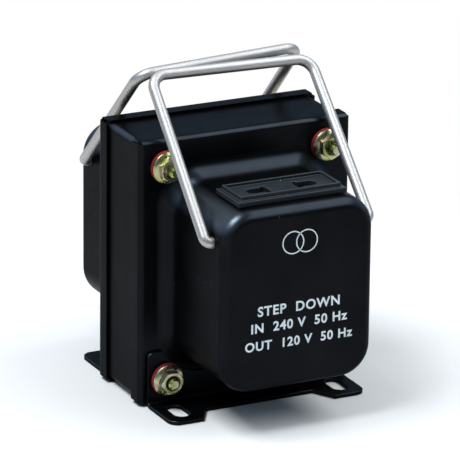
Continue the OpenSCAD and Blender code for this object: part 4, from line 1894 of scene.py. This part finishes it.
@dataclass
class InnerWorks:
    """Pieces of the frame that keep their shape and only get a finish."""

    sheets: Banded = Banded("core_sheets", "Y", 0.5 * MM, (0.08, 0.085, 0.09), (0.36, 0.37, 0.39), 1.0)
    wire: Banded = Banded("enamelled_copper", "X", 0.7 * MM, (0.22, 0.06, 0.015), (0.62, 0.25, 0.09), 1.0)
    tape: Banded = Banded("coil_film", "X", 9 * MM, (0.42, 0.26, 0.03), (0.55, 0.37, 0.06))
    nylon: Speckled = Speckled("bobbin_nylon", (0.62, 0.58, 0.46), (0.72, 0.68, 0.57))
    brass: StampedMetal = StampedMetal("contact_brass", (0.52, 0.36, 0.12), (0.78, 0.60, 0.28))
    nickel: StampedMetal = StampedMetal("fuse_nickel", (0.50, 0.49, 0.46), (0.68, 0.67, 0.63))
    red: Speckled = Speckled("red_lead", (0.33, 0.012, 0.01), (0.42, 0.02, 0.015))
    black: Speckled = Speckled("black_lead", (0.008, 0.008, 0.009), (0.014, 0.014, 0.016))
    moulding: Speckled = Speckled("holder_plastic", (0.012, 0.012, 0.013), (0.02, 0.02, 0.022))
    glass: ClearGlass = ClearGlass()

    def dress_up(self) -> None:
        """Give each kept node its material."""
        wear = {
            self.sheets: ("e_laminations", "i_laminations"),
            self.wire: ("inner_winding", "outer_winding"),
            self.tape: ("coil_tape",),
            self.nylon: ("bobbin",),
            self.brass: ("outlet_contacts", "fuse_terminal"),
            self.nickel: ("fuse_end_caps",),
            self.red: ("outlet_leads",),
            self.black: ("fuse_lead",),
            self.moulding: ("fuse_holder_nut",),
            self.glass: ("fuse_glass",),
        }
        for finish, nodes in wear.items():
            material = finish.make()
            for node in nodes:
                dress(frame["nodes"][node], material)
                LOG.info("%s keeps its shape and wears %s", node, material.name)


# Studio


@dataclass(frozen=True)
class SoftLamp:
    """Soft rectangular lamp that faces the converter and runs from front to back."""

    name: str
    place: tuple[float, float, float]
    size: Range
    power: float
    colour: Colour = (0.94, 0.975, 1.0)

    def hang(self, aim: Vector) -> None:
        """Hang the lamp.

        Args:
            aim: Point that it faces.
        """
        bpy.ops.object.light_add(type="AREA", location=self.place)
        lamp = bpy.context.object
        lamp.name = self.name
        lamp.data.shape = "RECTANGLE"
        lamp.data.size, lamp.data.size_y = self.size
        lamp.data.energy = self.power
        lamp.data.color = self.colour
        facing = (Vector(self.place) - aim).normalized()
        along = (Vector((0, 1, 0)) - facing.y * facing).normalized()
        lamp.rotation_euler = Matrix((along, facing.cross(along), facing)).transposed().to_euler()


@dataclass
class Studio:
    """Pale floor, soft lamps, dim surroundings and the photograph's camera."""

    focal_pixels: float = 4499.4
    yaw: float = 26.558
    pitch: float = 18.894
    roll: float = 0.606
    distance: float = 1637.3 * MM
    aim: tuple[float, float, float] = (0, 0, 55 * MM)
    slide: Range = (2.369 * MM, 1.382 * MM)
    sensor: float = 36
    far: float = 60
    floor_size: float = 12
    floor_drop: float = 0.02 * MM
    floor_deep: Colour = (0.80, 0.80, 0.80)
    floor_pale: Colour = (0.82, 0.82, 0.82)
    floor_clouds: float = 6
    floor_rough: float = 0.95
    floor_shine: float = 0.1
    white_from: float = 0.08
    white_at: float = 0.24
    lamps: tuple[SoftLamp, ...] = (
        SoftLamp("left_lamp", (-0.45, -0.02, 0.95), (0.6, 0.45), 9.2),
        SoftLamp("right_lamp", (0.44, -0.25, 0.75), (1.1, 0.4), 4.9),
    )
    # Colours of the room from below to overhead
    room: tuple[tuple[float, Colour], ...] = (
        (0.0, (0.18, 0.24, 0.32)),
        (0.30, (0.31, 0.50, 0.74)),
        (0.55, (0.48, 0.55, 0.62)),
        (0.75, (0.84, 0.86, 0.88)),
        (1.0, (0.90, 0.91, 0.92)),
    )
    room_depth: Range = (-0.9, 0.5)
    room_light: Range = (0.25, 1.0)

    def camera(self) -> None:
        """Place the camera at the photograph's viewing angle."""
        yaw, pitch, roll = (math.radians(angle) for angle in (self.yaw, self.pitch, self.roll))
        level = Vector((math.cos(yaw), -math.sin(yaw), 0))
        ahead = Vector((math.sin(yaw), math.cos(yaw), 0))
        back = math.sin(pitch) * Vector((0, 0, 1)) - math.cos(pitch) * ahead
        rise = back.cross(level)
        right = math.cos(roll) * level + math.sin(roll) * rise
        up = -math.sin(roll) * level + math.cos(roll) * rise
        place = Vector(self.aim) + back * self.distance + right * self.slide[0] + up * self.slide[1]
        bpy.ops.object.camera_add(location=place)
        camera = bpy.context.object
        camera.name = "photo_camera"
        camera.matrix_world = Matrix.Translation(place) @ Matrix((right, up, back)).transposed().to_4x4()
        camera.data.sensor_width = self.sensor
        camera.data.lens = self.sensor * self.focal_pixels / PHOTO_PIXELS
        camera.data.clip_end = self.far
        bpy.context.scene.camera = camera

    def floor(self) -> None:
        """Lay the pale floor, which runs to plain white away from the converter."""
        bpy.ops.mesh.primitive_plane_add(size=self.floor_size, location=(0, 0, -self.floor_drop))
        floor = settle(bpy.context.object, "floor")
        shader = Shader("pale_floor")
        tone = shader.clouds(self.floor_clouds, 2, self.floor_deep, self.floor_pale)
        shader.coat(Base_Color=tone, Roughness=self.floor_rough, Specular_IOR_Level=self.floor_shine)
        reach = shader.add("VectorMath", {0: shader.place}, operation="LENGTH").outputs["Value"]
        path = shader.add("LightPath", {}).outputs
        seen = shader.math("ADD", path["Is Camera Ray"], path["Is Glossy Ray"])
        seen = shader.math("ADD", seen, path["Is Transmission Ray"], clamp=True)
        share = shader.math("MULTIPLY", seen, shader.span(reach, self.white_from, self.white_at))
        white = shader.add("Emission", {"Color": (1, 1, 1, 1), "Strength": 1.0}).outputs[0]
        blend = shader.add("MixShader", {0: share, 1: shader.skin.outputs[0], 2: white}).outputs[0]
        shader.feed(shader.tree.nodes["Material Output"].inputs["Surface"], blend)
        dress(floor, shader.material)

    def surroundings(self) -> None:
        """Dim walls, darkest behind the camera, under a bright and slightly cool ceiling."""
        world = bpy.data.worlds.new("soft_room")
        bpy.context.scene.world = world
        world.use_nodes = True
        room = Nodes(world.node_tree)
        _, depth, height = room.parts(room.coordinates["Generated"])
        backdrop = room.tree.nodes["Background"].inputs
        room.feed(backdrop["Color"], room.ramp(height, *self.room))
        room.feed(backdrop["Strength"], room.mapped(depth, self.room_depth, self.room_light))

    def set_up(self) -> None:
        """Set up the whole studio."""
        self.camera()
        self.floor()
        self.surroundings()
        for lamp in self.lamps:
            lamp.hang(Vector(self.aim))
        bpy.context.scene.view_settings.view_transform = "Standard"


def main() -> None:
    """Build every sub-assembly in order."""
    logging.basicConfig(level=logging.INFO, format="%(name)s: %(message)s")
    layout = Layout.from_frame()
    enamel = SatinEnamel().make()
    steel = DrawnSteel().make()
    zinc = YellowZinc().make()
    fibre = RED_FIBRE.make()
    plastic = OUTLET_PLASTIC.make()
    moulding = FUSE_PLASTIC.make()
    rubber = GLAND_RUBBER.make()
    ink = PALE_INK.make()
    Studio().set_up()
    InnerWorks().dress_up()
    CoreBand().dress_up(enamel)
    for side in Side:
        EndBell(layout, side).dress_up(enamel)
        FootBracket(layout, side).dress_up(enamel)
        BailHandle(layout, side).dress_up(steel)
    TieHardware(layout).dress_up(zinc, fibre)
    Outlet(layout).dress_up(plastic)
    FuseHolder(layout).dress_up(moulding)
    CordGland(layout).dress_up(rubber)
    FrontPrint(layout).dress_up(ink)


if __name__ == "__main__":
    main()
